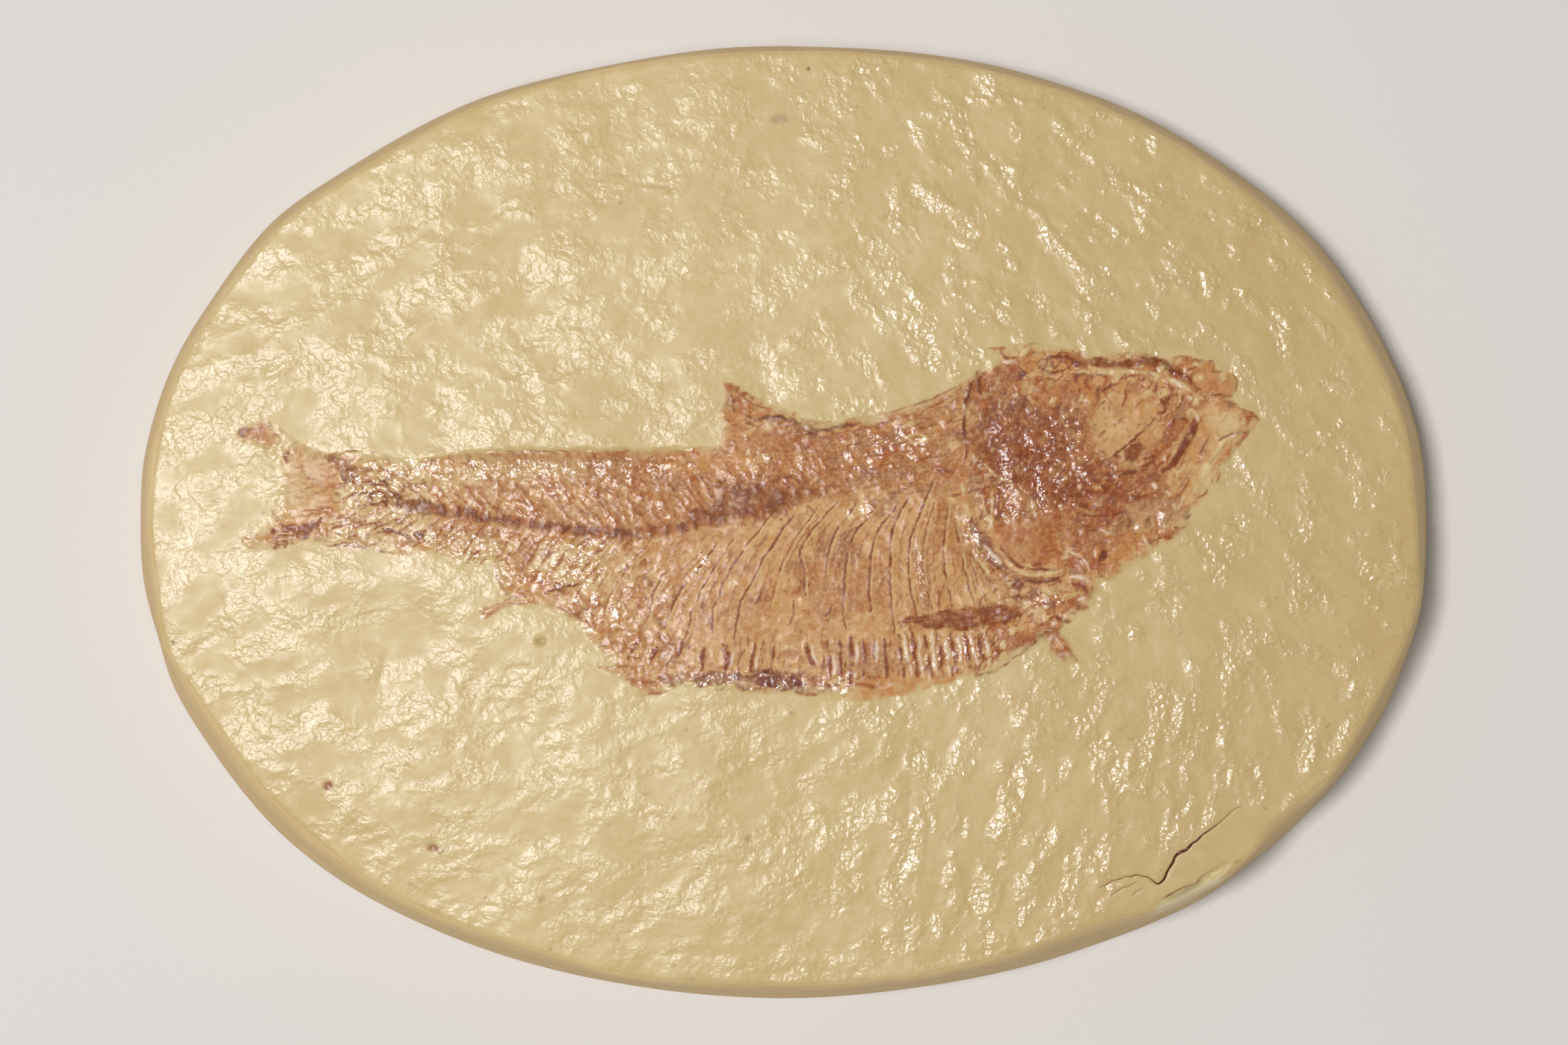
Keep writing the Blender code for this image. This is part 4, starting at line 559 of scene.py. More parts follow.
# Splinters of bone strewn over the film: number, box, turn and its spread, shortest and longest, kinds
SPLINTERS = [
    (190, (-29, 3, -7, 5.9), -38, 20, 0.5, 1.7, ("red", "red", "maroon", "orange")),
    (110, (-29, -4.2, -11, -1), 48, 12, 0.8, 2.2, ("red", "maroon", "orange")),
    (110, (-26, 0.6, -6, 3.4), -42, 10, 0.8, 2, ("red", "red", "maroon")),
    (110, (-37, -2.2, -30, 5), 2, 14, 0.6, 2.2, ("red", "maroon", "red")),
    (60, (-41, -1.6, -37, 6.4), -4, 10, 0.6, 2, ("red", "orange")),
    (150, (0, 2.4, 14.6, 9), 14, 12, 0.6, 2.2, ("red", "red", "maroon", "orange")),
    (110, (-8, 0.4, 3, 4.4), -20, 30, 0.4, 1.4, ("red", "purple", "dark")),
    (50, (-5.4, 6, 2, 11), -28, 16, 0.5, 1.6, ("red", "orange", "dark")),
    (60, (10, -8, 17.4, 1.4), 98, 8, 0.8, 2.6, ("red", "pale", "orange", "red")),
    (50, (-16, -10, -8, -3), 62, 10, 0.6, 2, ("red", "pale", "orange")),
    (130, (-8, -9.4, 14, -1), 74, 14, 0.5, 2.2, ("red", "maroon", "red", "pale")),
    (220, (15, 0, 27, 13), 60, 50, 0.2, 0.7, ("dark", "red", "orange", "pale", "grey")),
    (70, (25, -3, 34, 3), 40, 40, 0.3, 1, ("red", "orange", "pale", "purple")),
    (70, (24, 7, 33.5, 12.4), 50, 50, 0.3, 1, ("red", "orange", "pale")),
    (60, (20, 12.2, 35, 14.4), -4, 14, 0.4, 1.4, ("red", "dark", "orange")),
    (90, (17, -9, 26, -4.2), 20, 40, 0.3, 1.2, ("red", "maroon", "pale")),
    # The white splinters of the keel strip are painted glints.
    (90, (-10, -14.2, 9, -12.5), 6, 18, 0.4, 1.6, ("purple", "dark", "white_bone_and_glint", "maroon")),
    (150, (-12.6, -12.8, 17, -9.4), 88, 9, 0.5, 1.8, ("red", "pale", "maroon", "red")),
    (24, (-17, -14.4, -9, -9.4), 168, 12, 0.8, 2.4, ("red", "orange")),
    (40, (31, 1.6, 37.6, 9.2), 56, 5, 0.8, 2.6, ("red", "pale", "grey", "pale")),
]

# Where the varnish lies over small bumps and sparkles: strength, middle, half length, half height, turn
GLITTER = [
    (0.9, -25, 4.6, 12, 1.3, 0), (0.8, -13, 4.8, 7, 1.6, 2), (0.9, -17, -3.6, 3.6, 2.4, 30),
    (0.9, -27, -1.8, 4.5, 1.4, -8), (0.7, -22, -4.4, 3, 1.4, -10), (0.8, -15.2, -7.4, 3.4, 1.6, -20),
    (0.9, -34, 3.6, 3, 2.2, 0), (0.6, -36.5, -0.9, 3, 1.2, 0), (0.9, 6.4, 1, 1.6, 0.9, 0),
    (0.9, 11.6, -4.4, 0.5, 3.2, 5), (0.7, -7, -3.4, 1.2, 1, 0), (0.7, 13.4, -10.8, 4.4, 1.7, 8),
    (1, -3.6, -13.3, 6.4, 1.1, 0), (0.9, 4.4, -13.6, 1.6, 1.2, 0), (0.8, 22, 5, 6, 5.6, 0),
    (0.7, 9, 6.2, 6, 2.4, 12), (0.7, 18.8, 1.6, 2.4, 2, 0), (0.6, 30.6, 0.6, 3, 2, 0),
    (0.7, 21.8, -6.4, 2.4, 1.4, 0), (0.9, 16.6, -1.8, 1.2, 3, 36), (0.5, -0.4, 4.4, 5, 2, 0),
    (0.5, -12.5, -11.8, 3, 1.6, 0), (0.6, 33, 12, 2.4, 1, -20),
]

# Swellings of the body: middle, half length, half height, rise
SWELLINGS = [
    (24, 4, 13, 9.5, 0.22), (3, -4, 22, 9.5, 0.12), (-20, 1, 17, 5, 0.06), (20.8, -1.4, 3.2, 2.6, 0.14),
    (28, 8.4, 2.8, 2.6, -0.1),
]

# Specks and marks on the stone: stain, strength, half length, half height, place
SPECKS = [
    ("rust", 0.9, 0.42, 0.36, -38.1, -22), ("rust", 0.7, 0.5, 0.3, -29.3, -27.15),
    ("ochre", 0.7, 0.4, 0.3, -28.7, -27.4), ("ochre", 0.5, 0.55, 0.4, -20.3, -9.9),
    ("soot", 0.9, 0.16, 0.16, 2.1, 37.9), ("soot", 0.3, 0.8, 0.4, -0.4, 33.7),
    ("soot", 0.9, 0.16, 0.14, -51, -9.97), ("soot", 0.6, 0.2, 0.12, 26.95, -34.15),
    ("ochre", 0.5, 0.3, 0.3, -3, -26.4), ("rust", 0.4, 0.3, 0.12, 29, -18.1),
    ("soot", 0.5, 0.1, 0.5, -7.65, -38.4),
]

# Small pits of the stone: place, radius
PITS = [
    (-38.1, -22, 0.42), (-29.3, -27.15, 0.4), (-20.3, -9.9, 0.5), (2.1, 37.9, 0.2),
]


def smooth(t):
    """Smooth step from 0 to 1."""
    t = np.clip(t, 0.0, 1.0)
    return t * t * (3.0 - 2.0 * t)


def turned(x, y, turn):
    """Coordinates along and across a turn in degrees."""
    c = math.cos(math.radians(turn))
    s = math.sin(math.radians(turn))
    return x * c + y * s, y * c - x * s


def gradient_noise(u, v, seed):
    """Smooth random values between about -1 and 1 on a plane."""
    turns = np.random.default_rng(seed).random((256, 256)) * math.tau
    iu = np.floor(u).astype(int)
    iv = np.floor(v).astype(int)
    fu = u - iu
    fv = v - iv

    def corner(du, dv):
        turn = turns[(iu + du) & 255, (iv + dv) & 255]
        return np.cos(turn) * (fu - du) + np.sin(turn) * (fv - dv)

    wu = fu * fu * fu * (fu * (fu * 6.0 - 15.0) + 10.0)
    wv = fv * fv * fv * (fv * (fv * 6.0 - 15.0) + 10.0)
    low = corner(0, 0) * (1.0 - wu) + corner(1, 0) * wu
    high = corner(0, 1) * (1.0 - wu) + corner(1, 1) * wu
    return 1.5 * (low * (1.0 - wv) + high * wv)


def bumps(x, y, size, seed, octaves=1, stretch=1.0, turn=0.0):
    """Random bumps of a size in millimetres, drawn out along a turn in degrees."""
    along, across = turned(x, y, turn)
    u = along / (size * stretch)
    v = across / size
    total = np.zeros(np.shape(x))
    weight = 1.0
    for octave in range(octaves):
        scale = 2.0 ** octave
        total += weight * gradient_noise(u * scale + 37.7 * octave, v * scale + 11.3 * octave, seed + octave)
        weight *= 0.5
    return total


def shards(x, y, size, seed, stretch=1.0, turn=0.0):
    """Broken pieces of a size in millimetres: a random value of each, and the distance from its edge."""
    along, across = turned(x, y, turn)
    u = along / (size * stretch)
    v = across / size
    table = np.random.default_rng(seed).random((3, 128, 128))
    nearest = np.full(np.shape(x), 9.0)
    second = np.full(np.shape(x), 9.0)
    value = np.zeros(np.shape(x))
    for du in (-1, 0, 1):
        for dv in (-1, 0, 1):
            iu = np.floor(u).astype(int) + du
            iv = np.floor(v).astype(int) + dv
            cell = table[:, iu & 127, iv & 127]
            away = np.hypot(iu + cell[0] - u, iv + cell[1] - v)
            second = np.minimum(second, np.maximum(away, nearest))
            value = np.where(away < nearest, cell[2], value)
            nearest = np.minimum(nearest, away)
    return value, (second - nearest) * size


def blob(x, y, mid_x, mid_y, half_length, half_height, turn=0.0):
    """Soft spot: 1 in the middle, 0 at its edge."""
    along, across = turned(x - mid_x, y - mid_y, turn)
    return 1.0 - smooth(np.hypot(along / half_length, across / half_height))


def curve(points, steps):
    """The points of a smooth curve through the given points."""
    points = [np.array(p, float) for p in points]
    if len(points) < 3:
        return points
    ends = [2 * points[0] - points[1]] + points + [2 * points[-1] - points[-2]]
    made = []
    for before, start, end, after in zip(ends, ends[1:], ends[2:], ends[3:]):
        for i in range(steps):
            t = i / steps
            square = (2 * before - 5 * start + 4 * end - after) * t ** 2
            cube = (3 * start - before - 3 * end + after) * t ** 3
            made.append(0.5 * (2 * start + (end - before) * t + square + cube))
    made.append(points[-1])
    return made


def walked_along(line):
    """Distance walked along a line up to each of its points."""
    return np.concatenate([[0.0], np.cumsum(np.linalg.norm(np.diff(line, axis=0), axis=1))])


def closed_curve(points, count):
    """Evenly spaced points on the smooth closed curve through the given points."""
    ring = list(points[-2:]) + list(points) + list(points[:2])
    fine = np.array(curve(ring, 24))
    fine = fine[24 * 2:24 * (len(points) + 2) + 1]
    walked = walked_along(fine[:, :2])
    wanted = np.linspace(0.0, walked[-1], count, endpoint=False)
    return np.stack([np.interp(wanted, walked, fine[:, i]) for i in range(fine.shape[1])], axis=1)


def to_line(x, y, points):
    """Distance of each place from a line of points, and how far along the line its nearest point is."""
    best = np.full(np.shape(x), 1e9)
    along = np.zeros(np.shape(x))
    lengths = [math.dist(a[:2], b[:2]) for a, b in zip(points, points[1:])]
    walked = 0.0
    for a, b, length in zip(points, points[1:], lengths):
        dx, dy = b[0] - a[0], b[1] - a[1]
        t = np.clip(((x - a[0]) * dx + (y - a[1]) * dy) / (length * length + 1e-12), 0.0, 1.0)
        away = np.hypot(x - a[0] - t * dx, y - a[1] - t * dy)
        nearer = away < best
        best = np.where(nearer, away, best)
        along = np.where(nearer, walked + t * length, along)
        walked += length
    return best, along / sum(lengths)


def depth_inside(x, y, outline):
    """Distance from a closed outline, above zero inside it."""
    closed = list(outline) + [outline[0]]
    away = to_line(x, y, closed)[0]
    hit = np.zeros(np.shape(x), bool)
    for a, b in zip(closed, closed[1:]):
        if a[1] != b[1]:
            crosses = ((a[1] > y) != (b[1] > y)) & (x < (b[0] - a[0]) * (y - a[1]) / (b[1] - a[1]) + a[0])
            hit ^= crosses
    return np.where(hit, away, -away)


def make_mesh_object(name, verts, faces, sheets):
    """A smooth object in metres from points in millimetres, with one value of each sheet for each point."""
    mesh = bpy.data.meshes.new(name)
    mesh.from_pydata((np.asarray(verts) * MM).tolist(), [], faces)
    mesh.update()
    for sheet, values in sheets.items():
        layer = mesh.attributes.new(sheet, "FLOAT", "POINT")
        layer.data.foreach_set("value", np.clip(values, 0.0, 1.0).astype(np.float32))
    mesh.shade_smooth()
    thing = bpy.data.objects.new(name, mesh)
    bpy.context.scene.collection.objects.link(thing)
    return thing


# The stone's face: shares of its regions, then its heights

def shore(x, y):
    """Distance inside the ragged edge of the fish's film."""
    return depth_inside(x, y, FISH_OUTLINE) + 0.16 * bumps(x, y, 1.1, 61, 2)


def matt_share(x, y):
    """1 on the smooth matt corner between the crack and the rim, 0 elsewhere."""
    return smooth(depth_inside(x, y, MATT_CORNER) / 0.8 + 0.5)


def ledge_share(x, y):
    """1 where the stone stands above the film along the back of the rear body, 0 elsewhere."""
    return smooth(1.6 * blob(x, y, -20.0, 6.3, 17.0, 1.5))


def right_share(x):
    """0 on the left half of the face, 1 on the right half."""
    return smooth((x + 6.0) / 22.0)


def by_region(x, y, level, slanting, upright):
    """Three patterns blended: level on the left, slanting on the upper right, upright on the lower right."""
    right = right_share(x)
    low = smooth((-6.0 - y) / 14.0)
    return level * (1.0 - right) + right * (upright * low + slanting * (1.0 - low))


def dimples(x, y):
    """The small bumps of the face, which lean another way in each region."""
    level = bumps(x, y, 1.4, 15, 2, 1.5, 24.0)
    slanting = bumps(x, y, 1.6, 9, 2, 1.6, -48.0)
    upright = bumps(x, y, 1.6, 12, 2, 1.5, 78.0)
    return by_region(x, y, level, slanting, upright)


def cluster_share(x, y):
    """1 where the varnish stands in glinting beads, 0 on the smooth stone between."""
    level = bumps(x, y, 3.0, 27, 2, 1.7, 14.0) + 0.13
    slanting = bumps(x, y, 2.4, 28, 2, 1.6, -50.0) - 0.16
    upright = bumps(x, y, 2.7, 29, 2, 1.6, 80.0) - 0.02
    mixed = by_region(x, y, level, slanting, upright) + 0.3 * bumps(x, y, 1.3, 30, 2)
    return smooth(0.5 + mixed / (0.75 - 0.3 * right_share(x)))


def painted_hollow_shade(x, y):
    """How far a place lies down in the small hollows of the face, for the shade painted into them."""
    return smooth(0.5 - 0.9 * dimples(x, y) - 0.3 * bumps(x, y, 6.0, 23, 2))


def chip_share(x, y):
    """1 on the broken slope outside the side crack, 0 elsewhere."""
    away = to_line(x, y, [point[1:] for point in CRACKS[-1]])[0]
    outside = (x - 33.5) * 0.5 - (y + 30.5) * 0.86 > 0.0
    beside = 1.0 - smooth((np.abs(x - CHIP_X) - 2.2) / 1.2)
    return outside * beside * smooth(away / 0.25)


def stone_face(x, y):
    """Height of the slab's hammered face before the fish's bed, crack and pits are cut in."""
    right = right_share(x)
    height = (0.15 - 0.06 * right) * bumps(x, y, 9.0, 1) + 0.05 * bumps(x, y, 4.6, 4)
    height += 0.07 * (y + 7.0) * blob(x, y, -36.0, -7.0, 15.0, 5.5)
    small = dimples(x, y)
    calm = 1.0 - 0.5 * blob(x, y, -32.0, -8.0, 22.0, 8.0) - 0.55 * blob(x, y, -52.0, 0.0, 12.0, 12.0)
    calm = (calm - 0.3 * blob(x, y, 44.0, 2.0, 12.0, 30.0)) * (1.0 - 0.93 * matt_share(x, y))
    clusters = cluster_share(x, y)
    height += (0.036 + 0.05 * right) * (0.4 + 0.85 * clusters) * calm * small
    height += (0.002 + 0.014 * clusters) * (1.15 - 0.35 * right) * calm * bumps(x, y, 0.85, 21, 1)
    height -= 0.09 * blob(x, y, 32.0, -6.4, 6.0, 1.1, 24.0) + 0.07 * blob(x, y, -33.4, -12.2, 0.8, 2.6, -16.0)
    return FACE_Z + height


def crack_sides(crack):
    """A crack's middle line, its half widths, their shares of its length and the mesh lines along it."""
    fine = np.array(curve(crack, 4))
    along = np.gradient(fine[:, 1:], axis=0)
    along = along / np.linalg.norm(along, axis=1)[:, None]
    across = np.stack([-along[:, 1], along[:, 0]], axis=1)
    middle, half = fine[:, 1:], CRACK_NARROWING * fine[:, 0]
    lines = [middle]
    for gap in (0.0, CRACK_EDGE):
        for side in (-1.0, 1.0):
            lines.append(middle + side * (half + gap)[:, None] * across)
    walked = walked_along(middle)
    return {"middle": [tuple(p) for p in middle], "half": half, "marks": walked / walked[-1], "lines": lines}


def crack_reach(x, y, crack):
    """Distance of each place from a crack, and the crack's half width there."""
    away, share = to_line(x, y, crack["middle"])
    return away, np.interp(share, crack["marks"], crack["half"])


# The slab

def face_grid(brow, cracks):
    """Places of the face's points: fine and jittered, sparse under the fish, clear of the cracks."""
    reach_x, reach_y = np.abs(brow).max(axis=0)
    rng = np.random.default_rng(5)
    columns = np.arange(-reach_x, reach_x, STONE_SPACING)
    rows = np.arange(-reach_y, reach_y, STONE_SPACING * 0.866)
    gx, gy = np.meshgrid(columns, rows)
    gx = gx + (np.arange(len(rows)) % 2)[:, None] * 0.5 * STONE_SPACING
    gx = gx + rng.uniform(-JITTER, JITTER, gx.shape)
    gy = gy + rng.uniform(-JITTER, JITTER, gx.shape)
    every = int(HIDDEN_SPACING / STONE_SPACING)
    sparse = np.zeros(gx.shape, bool)
    sparse[::every, ::every] = True
    x, y, sparse = gx.ravel(), gy.ravel(), sparse.ravel()
    keep = depth_inside(x, y, [tuple(p) for p in brow[::3]]) > BROW_GAP
    x, y, sparse = x[keep], y[keep], sparse[keep]
    keep = (depth_inside(x, y, FISH_OUTLINE) < HIDDEN_DEPTH) | sparse
    x, y = x[keep], y[keep]
    for crack in cracks:
        keep = to_line(x, y, crack["middle"])[0] > crack["half"].max() + CRACK_GAP
        x, y = x[keep], y[keep]
    return x, y


def face_mesh(brow, cracks):
    """Flat points and triangles of the face between its brow and the sides of the cracks."""
    points = [Vector(p) for p in brow]
    edges = []
    for crack in cracks:
        for line in crack["lines"]:
            first = len(points)
            points += [Vector(p) for p in line]
            edges += [(first + i, first + i + 1) for i in range(len(line) - 1)]
    points += [Vector(p) for p in zip(*face_grid(brow, cracks))]
    result = geometry.delaunay_2d_cdt(points, edges, [list(range(RIM_POINTS))], 1, 1e-4)
    return np.array(result[0]), [tuple(face) for face in result[2]]


def face_height(x, y, cracks):
    """Height of the finished face with the fish's bed, cracks, pits and chip."""
    z = stone_face(x, y)
    z -= BED_DEPTH * smooth((shore(x, y) - BED_START * (1.0 - ledge_share(x, y))) / 0.5)
    for crack in cracks:
        away, widths = crack_reach(x, y, crack)
        z -= CRACK_DEPTH * smooth(1.0 - away / (widths + 0.01)) * smooth(widths / 0.1)
    for px, py, radius in PITS:
        z -= PIT_DEPTH * blob(x, y, px, py, radius * 1.3, radius * 1.3)
    z -= CHIP_DEPTH * chip_share(x, y) * smooth((x - 29.0) / 3.0)
    return z


def wall_points(edge, foot, out):
    """Points of the rings below the brow, with the marks of the cutting and the notch of the chip."""
    turn = np.linspace(0.0, 1.0, RIM_POINTS, endpoint=False)
    made = []
    for share, height in RINGS[1:]:
        place = edge + out * share if share < 0.0 else edge + (foot - edge) * share
        if 0.05 < share < 0.99 and height > 0.2:
            cut = 0.14 * gradient_noise(turn * 74.0, np.full(RIM_POINTS, height * 0.25), 31)
            cut += 0.05 * gradient_noise(turn * 256.0, np.full(RIM_POINTS, height * 0.9), 33)
            place = place - out * np.abs(cut)[:, None]
        x, y = place[:, 0], place[:, 1]
        level = np.full(RIM_POINTS, height)
        if height > CHIP_FOOT:
            level = level - NOTCH_DEPTH * (1.0 - smooth(np.hypot(x - CHIP_X, y + 31.4) / 3.4))
        if share <= 0.0:
            level = level + (stone_face(x, y) - FACE_Z)
        made.append(np.stack([x, y, level], axis=1))
    return made


def wall_faces(starts):
    """Faces between neighbouring rings, from the number of each ring's first point."""
    made = []
    for upper, lower in zip(starts, starts[1:]):
        for i in range(RIM_POINTS):
            j = (i + 1) % RIM_POINTS
            made.append((upper + i, upper + j, lower + j, lower + i))
    return made


def pale_break(x, y, z):
    """Fresh pale stone on the chip, fading out down the wall below it."""
    beside = 1.0 - smooth((np.abs(x - 34.0) - 1.2 + 1.1 * bumps(x, z, 1.6, 73, 2)) / 3.4)
    below = smooth((z - 4.6 + 1.6 * bumps(x, z, 1.9, 75, 2)) / 6.0)
    on_wall = 0.55 * beside * below * (y < -29.0) * (z < 10.7)
    return np.maximum(chip_share(x, y) * smooth((z - 8.6) / 1.2), on_wall)


def stone_sheets(verts, cracks):
    """Stains, varnish and the painted shade of the hollows of the stone, one value of each for each point."""
    x, y, z = verts.T
    sheets = {name: np.zeros(len(verts)) for name in ("rust", "ochre", "soot", "crack")}
    ragged = 1.0 + 0.8 * bumps(x, y, 0.35, 71, 2)
    for stain, strength, half_length, half_height, px, py in SPECKS:
        spot = blob(x, y, px, py, half_length * 1.4, half_height * 1.4)
        sheets[stain] += strength * smooth(2.0 * ragged * spot)
    for crack in cracks:
        away, widths = crack_reach(x, y, crack)
        open_part = (away < widths + 0.5 * CRACK_EDGE) * smooth(0.36 + widths / 0.1) * (z > 9.0)
        sheets["crack"] = np.maximum(sheets["crack"], open_part)
    sheets["greenish"] = pale_break(x, y, z)
    matt = 1.0 - 0.95 * matt_share(x, y)
    clusters, right = cluster_share(x, y), right_share(x)
    sheets["varnish"] = (0.22 + 0.78 * clusters) * (0.5 + 0.5 * right) * matt
    sheets["gloss"] = clusters * (0.36 + 0.64 * right) * matt
    sheets["hollow_shade"] = painted_hollow_shade(x, y)
    return sheets


def build_stone():
    """The slab: a finely hammered face with crack, chip and pits, and the slanting wall around it."""
    rim = closed_curve(RIM, RIM_POINTS)
    edge, foot = rim[:, :2], rim[:, 2:] * FOOT_SHARE
    out = (foot - edge) / np.linalg.norm(foot - edge, axis=1)[:, None]
    cracks = [crack_sides(crack) for crack in CRACKS]
    flat, faces = face_mesh(edge + out * RINGS[0][0], cracks)
    x, y = flat[:, 0], flat[:, 1]
    face = np.stack([x, y, face_height(x, y, cracks)], axis=1)
    verts = np.concatenate([face] + wall_points(edge, foot, out))
    starts = [0] + [len(flat) + RIM_POINTS * number for number in range(len(RINGS) - 1)]
    wall_start = len(faces) + VARNISHED_RINGS * RIM_POINTS
    faces += wall_faces(starts)
    faces.append(tuple(range(starts[-1], starts[-1] + RIM_POINTS)))
    thing = make_mesh_object("stone_slab", verts, faces, stone_sheets(verts, cracks))
    for polygon in thing.data.polygons[wall_start:]:
        polygon.material_index = 1
    thing.data.polygons[len(faces) - 1].use_smooth = False
    return thing


# Strokes and patches of the fish

def backbone_bones():
    """Vertebrae and the thin spines above and below them: kind, half width, points."""
    line = np.array(curve(BACKBONE, 12))
    walked = walked_along(line)
    bones = []
    for number, place in enumerate(np.arange(2.0, walked[-1], VERTEBRA_PITCH)):
        x = np.interp(place, walked, line[:, 0])
        y = np.interp(place, walked, line[:, 1])
        ahead = smooth((x + 30.0) / 44.0)
        wobble = 0.3 * math.sin(number * 2.7)
        bones.append(("vertebra", 0.2, [(x + 0.1, y + 0.42), (x, y), (x + 0.1, y - 0.42)]))
        lean = 1.9 + 0.7 * ahead
        rise = 2.0 + 1.7 * ahead + wobble
        spine = [(x, y + 0.4), (x - 0.5 * lean, y + 0.4 + 0.42 * rise), (x - lean, y + 0.4 + rise)]
        bones.append(("red", 0.07, spine))
        if -36.0 < x < -13.0:
            drop = 1.8 + 1.8 * smooth((x + 31.0) / 12.0) + wobble
            spine = [(x, y - 0.4), (x - 1.1, y - 0.4 - 0.45 * drop), (x - 2.4, y - 0.4 - drop)]
            bones.append(("red", 0.07, spine))
    return bones


def between_ribs():
    """A thinner rib halfway between each two neighbours."""
    shares = np.linspace(0.08, 0.85, 5)
    places = []
    for rib in RIBS:
        line = np.array(curve(rib[-1], 6))
        marks = np.linspace(0.0, 1.0, len(line))
        places.append(np.array([np.interp(shares, marks, line[:, i]) for i in (0, 1)]))
    return [list(zip(*(0.5 * (before + after)).tolist())) for before, after in zip(places, places[1:])]


def keel_struts():
    """The close row of scute struts under the shoulder, dark and white in turn, the white ones painted
    glints.
    """
    made = []
    for number in range(CLOSE_STRUTS):
        x = 9.8 + 0.55 * number
        lean = 0.25 + 0.1 * math.sin(number * 1.9)
        foot = -12.9 + 0.45 * max(0.0, x - 13.5)
        top = -9.35 - 0.15 * math.sin(number * 2.3)
        kind, width = ("white_bone_and_glint", 0.12) if number % 2 else ("maroon", 0.2)
        made.append((kind, width, [(x - lean, top), (x, 0.5 * (top + foot)), (x + lean, foot)]))
    return made


def splinters():
    """Short bent strokes of bone: kind, half width, points and strength."""
    rng = np.random.default_rng(17)
    made = []
    for count, box, turn, spread, shortest, longest, kinds in SPLINTERS:
        for number in range(count):
            x = rng.uniform(box[0], box[2])
            y = rng.uniform(box[1], box[3])
            angle = math.radians(turn + rng.normal(0.0, spread))
            c, s = math.cos(angle), math.sin(angle)
            half = 0.5 * rng.uniform(shortest, longest)
            bend = rng.normal(0.0, 0.16) * half
            start, end = (x - c * half, y - s * half), (x + c * half, y + s * half)
            points = [start, (x - s * bend, y + c * bend), end]
            made.append((kinds[number % len(kinds)], rng.uniform(0.04, 0.1), points, rng.uniform(0.35, 0.9)))
    return made


def places_near(sheet, points, reach):
    """Numbers of the places within a reach of the box around some points."""
    xs, ys = zip(*points)
    return np.nonzero((sheet["x"] > min(xs) - reach) & (sheet["x"] < max(xs) + reach)
                      & (sheet["y"] > min(ys) - reach) & (sheet["y"] < max(ys) + reach))[0]


def at_least(sheet, name, values, places=slice(None)):
    """Raise a sheet to the given values where it is lower."""
    sheet[name][places] = np.maximum(sheet[name][places], values)


def draw_line(sheet, kind, half_width, points, strength=1.0, raised=1.0):
    """Stain and relief along a line, tapered and slightly broken up."""
    amounts, relief = KINDS[kind]
    bright = kind in ("pale", "white_bone_and_glint")
    line = [tuple(p) for p in curve(points, 4)]
    near = places_near(sheet, line, half_width * 3.0 + 0.4)
    away, along = to_line(sheet["x"][near], sheet["y"][near], line)
    wobble = sheet["wobble"][near]
    width = half_width * (0.5 + 0.5 * smooth(5.0 * np.minimum(along, 1.0 - along))) * (1.0 + 0.5 * wobble)
    gaps = 0.85 if bright else 0.6
    broken = 1.0 - gaps * smooth(1.8 * sheet["breaks"][near] + 0.6 * wobble - 0.1)
    broken = broken * sheet["near_fish"][near]
    body = strength * broken * (1.0 - smooth((away - 0.35 * width) / (0.75 * width + 0.07)))
    at_least(sheet, "film", 0.9 * body, near)
    for name, amount in amounts.items():
        at_least(sheet, name, amount * body, near)
    if bright:
        for name in ("brown", "dark", "purple"):
            sheet[name][near] *= 1.0 - 0.85 * body
    sheet["rise"][near] += raised * relief * broken * (1.0 - smooth(away / (1.4 * width + 0.06)))


def draw_patch(sheet, kind, strength, softness, outline):
    """Stain inside an outline, with a soft ragged edge and mottled inside."""
    near = places_near(sheet, outline, softness)
    depth = depth_inside(sheet["x"][near], sheet["y"][near], outline)
    mottle, fine = sheet["mottle"][near], sheet["fine"][near]
    ragged = depth / softness + 0.6 * mottle + 0.5 * fine
    body = strength * smooth(0.5 + ragged) * (0.8 + 0.3 * mottle + 0.35 * fine)
    if kind != "pale":
        at_least(sheet, "film", 0.95 * body, near)
    for name, amount in KINDS[kind][0].items():
        at_least(sheet, name, amount * body, near)
    cleared = {"pale": 1.0, "orange": 0.65}.get(kind, 0.0)
    for name in ("brown", "dark", "purple") + (("orange",) if kind == "pale" else ()):
        sheet[name][near] *= 1.0 - cleared * body


# The film of stained stone, layer by layer

def fish_grid():
    """Places and faces of the fish's relief: every cell of a square grid in and around its outline."""
    xs = np.arange(*FISH_SPAN_X, FISH_STEP)
    ys = np.arange(*FISH_SPAN_Y, FISH_STEP)
    gx, gy = np.meshgrid(xs, ys)
    wide = depth_inside(gx.ravel(), gy.ravel(), FISH_OUTLINE).reshape(gx.shape) > -FISH_SKIRT
    cells = wide[:-1, :-1] & wide[1:, :-1] & wide[:-1, 1:] & wide[1:, 1:]
    used = np.zeros(gx.shape, bool)
    for di in (0, 1):
        for dj in (0, 1):
            used[di:used.shape[0] - 1 + di, dj:used.shape[1] - 1 + dj] |= cells
    index = -np.ones(gx.shape, int)
    index[used] = np.arange(used.sum())
    rows, columns = np.nonzero(cells)
    faces = np.stack([index[rows, columns], index[rows, columns + 1], index[rows + 1, columns + 1],
                      index[rows + 1, columns]], axis=1).tolist()
    return gx[used], gy[used], faces


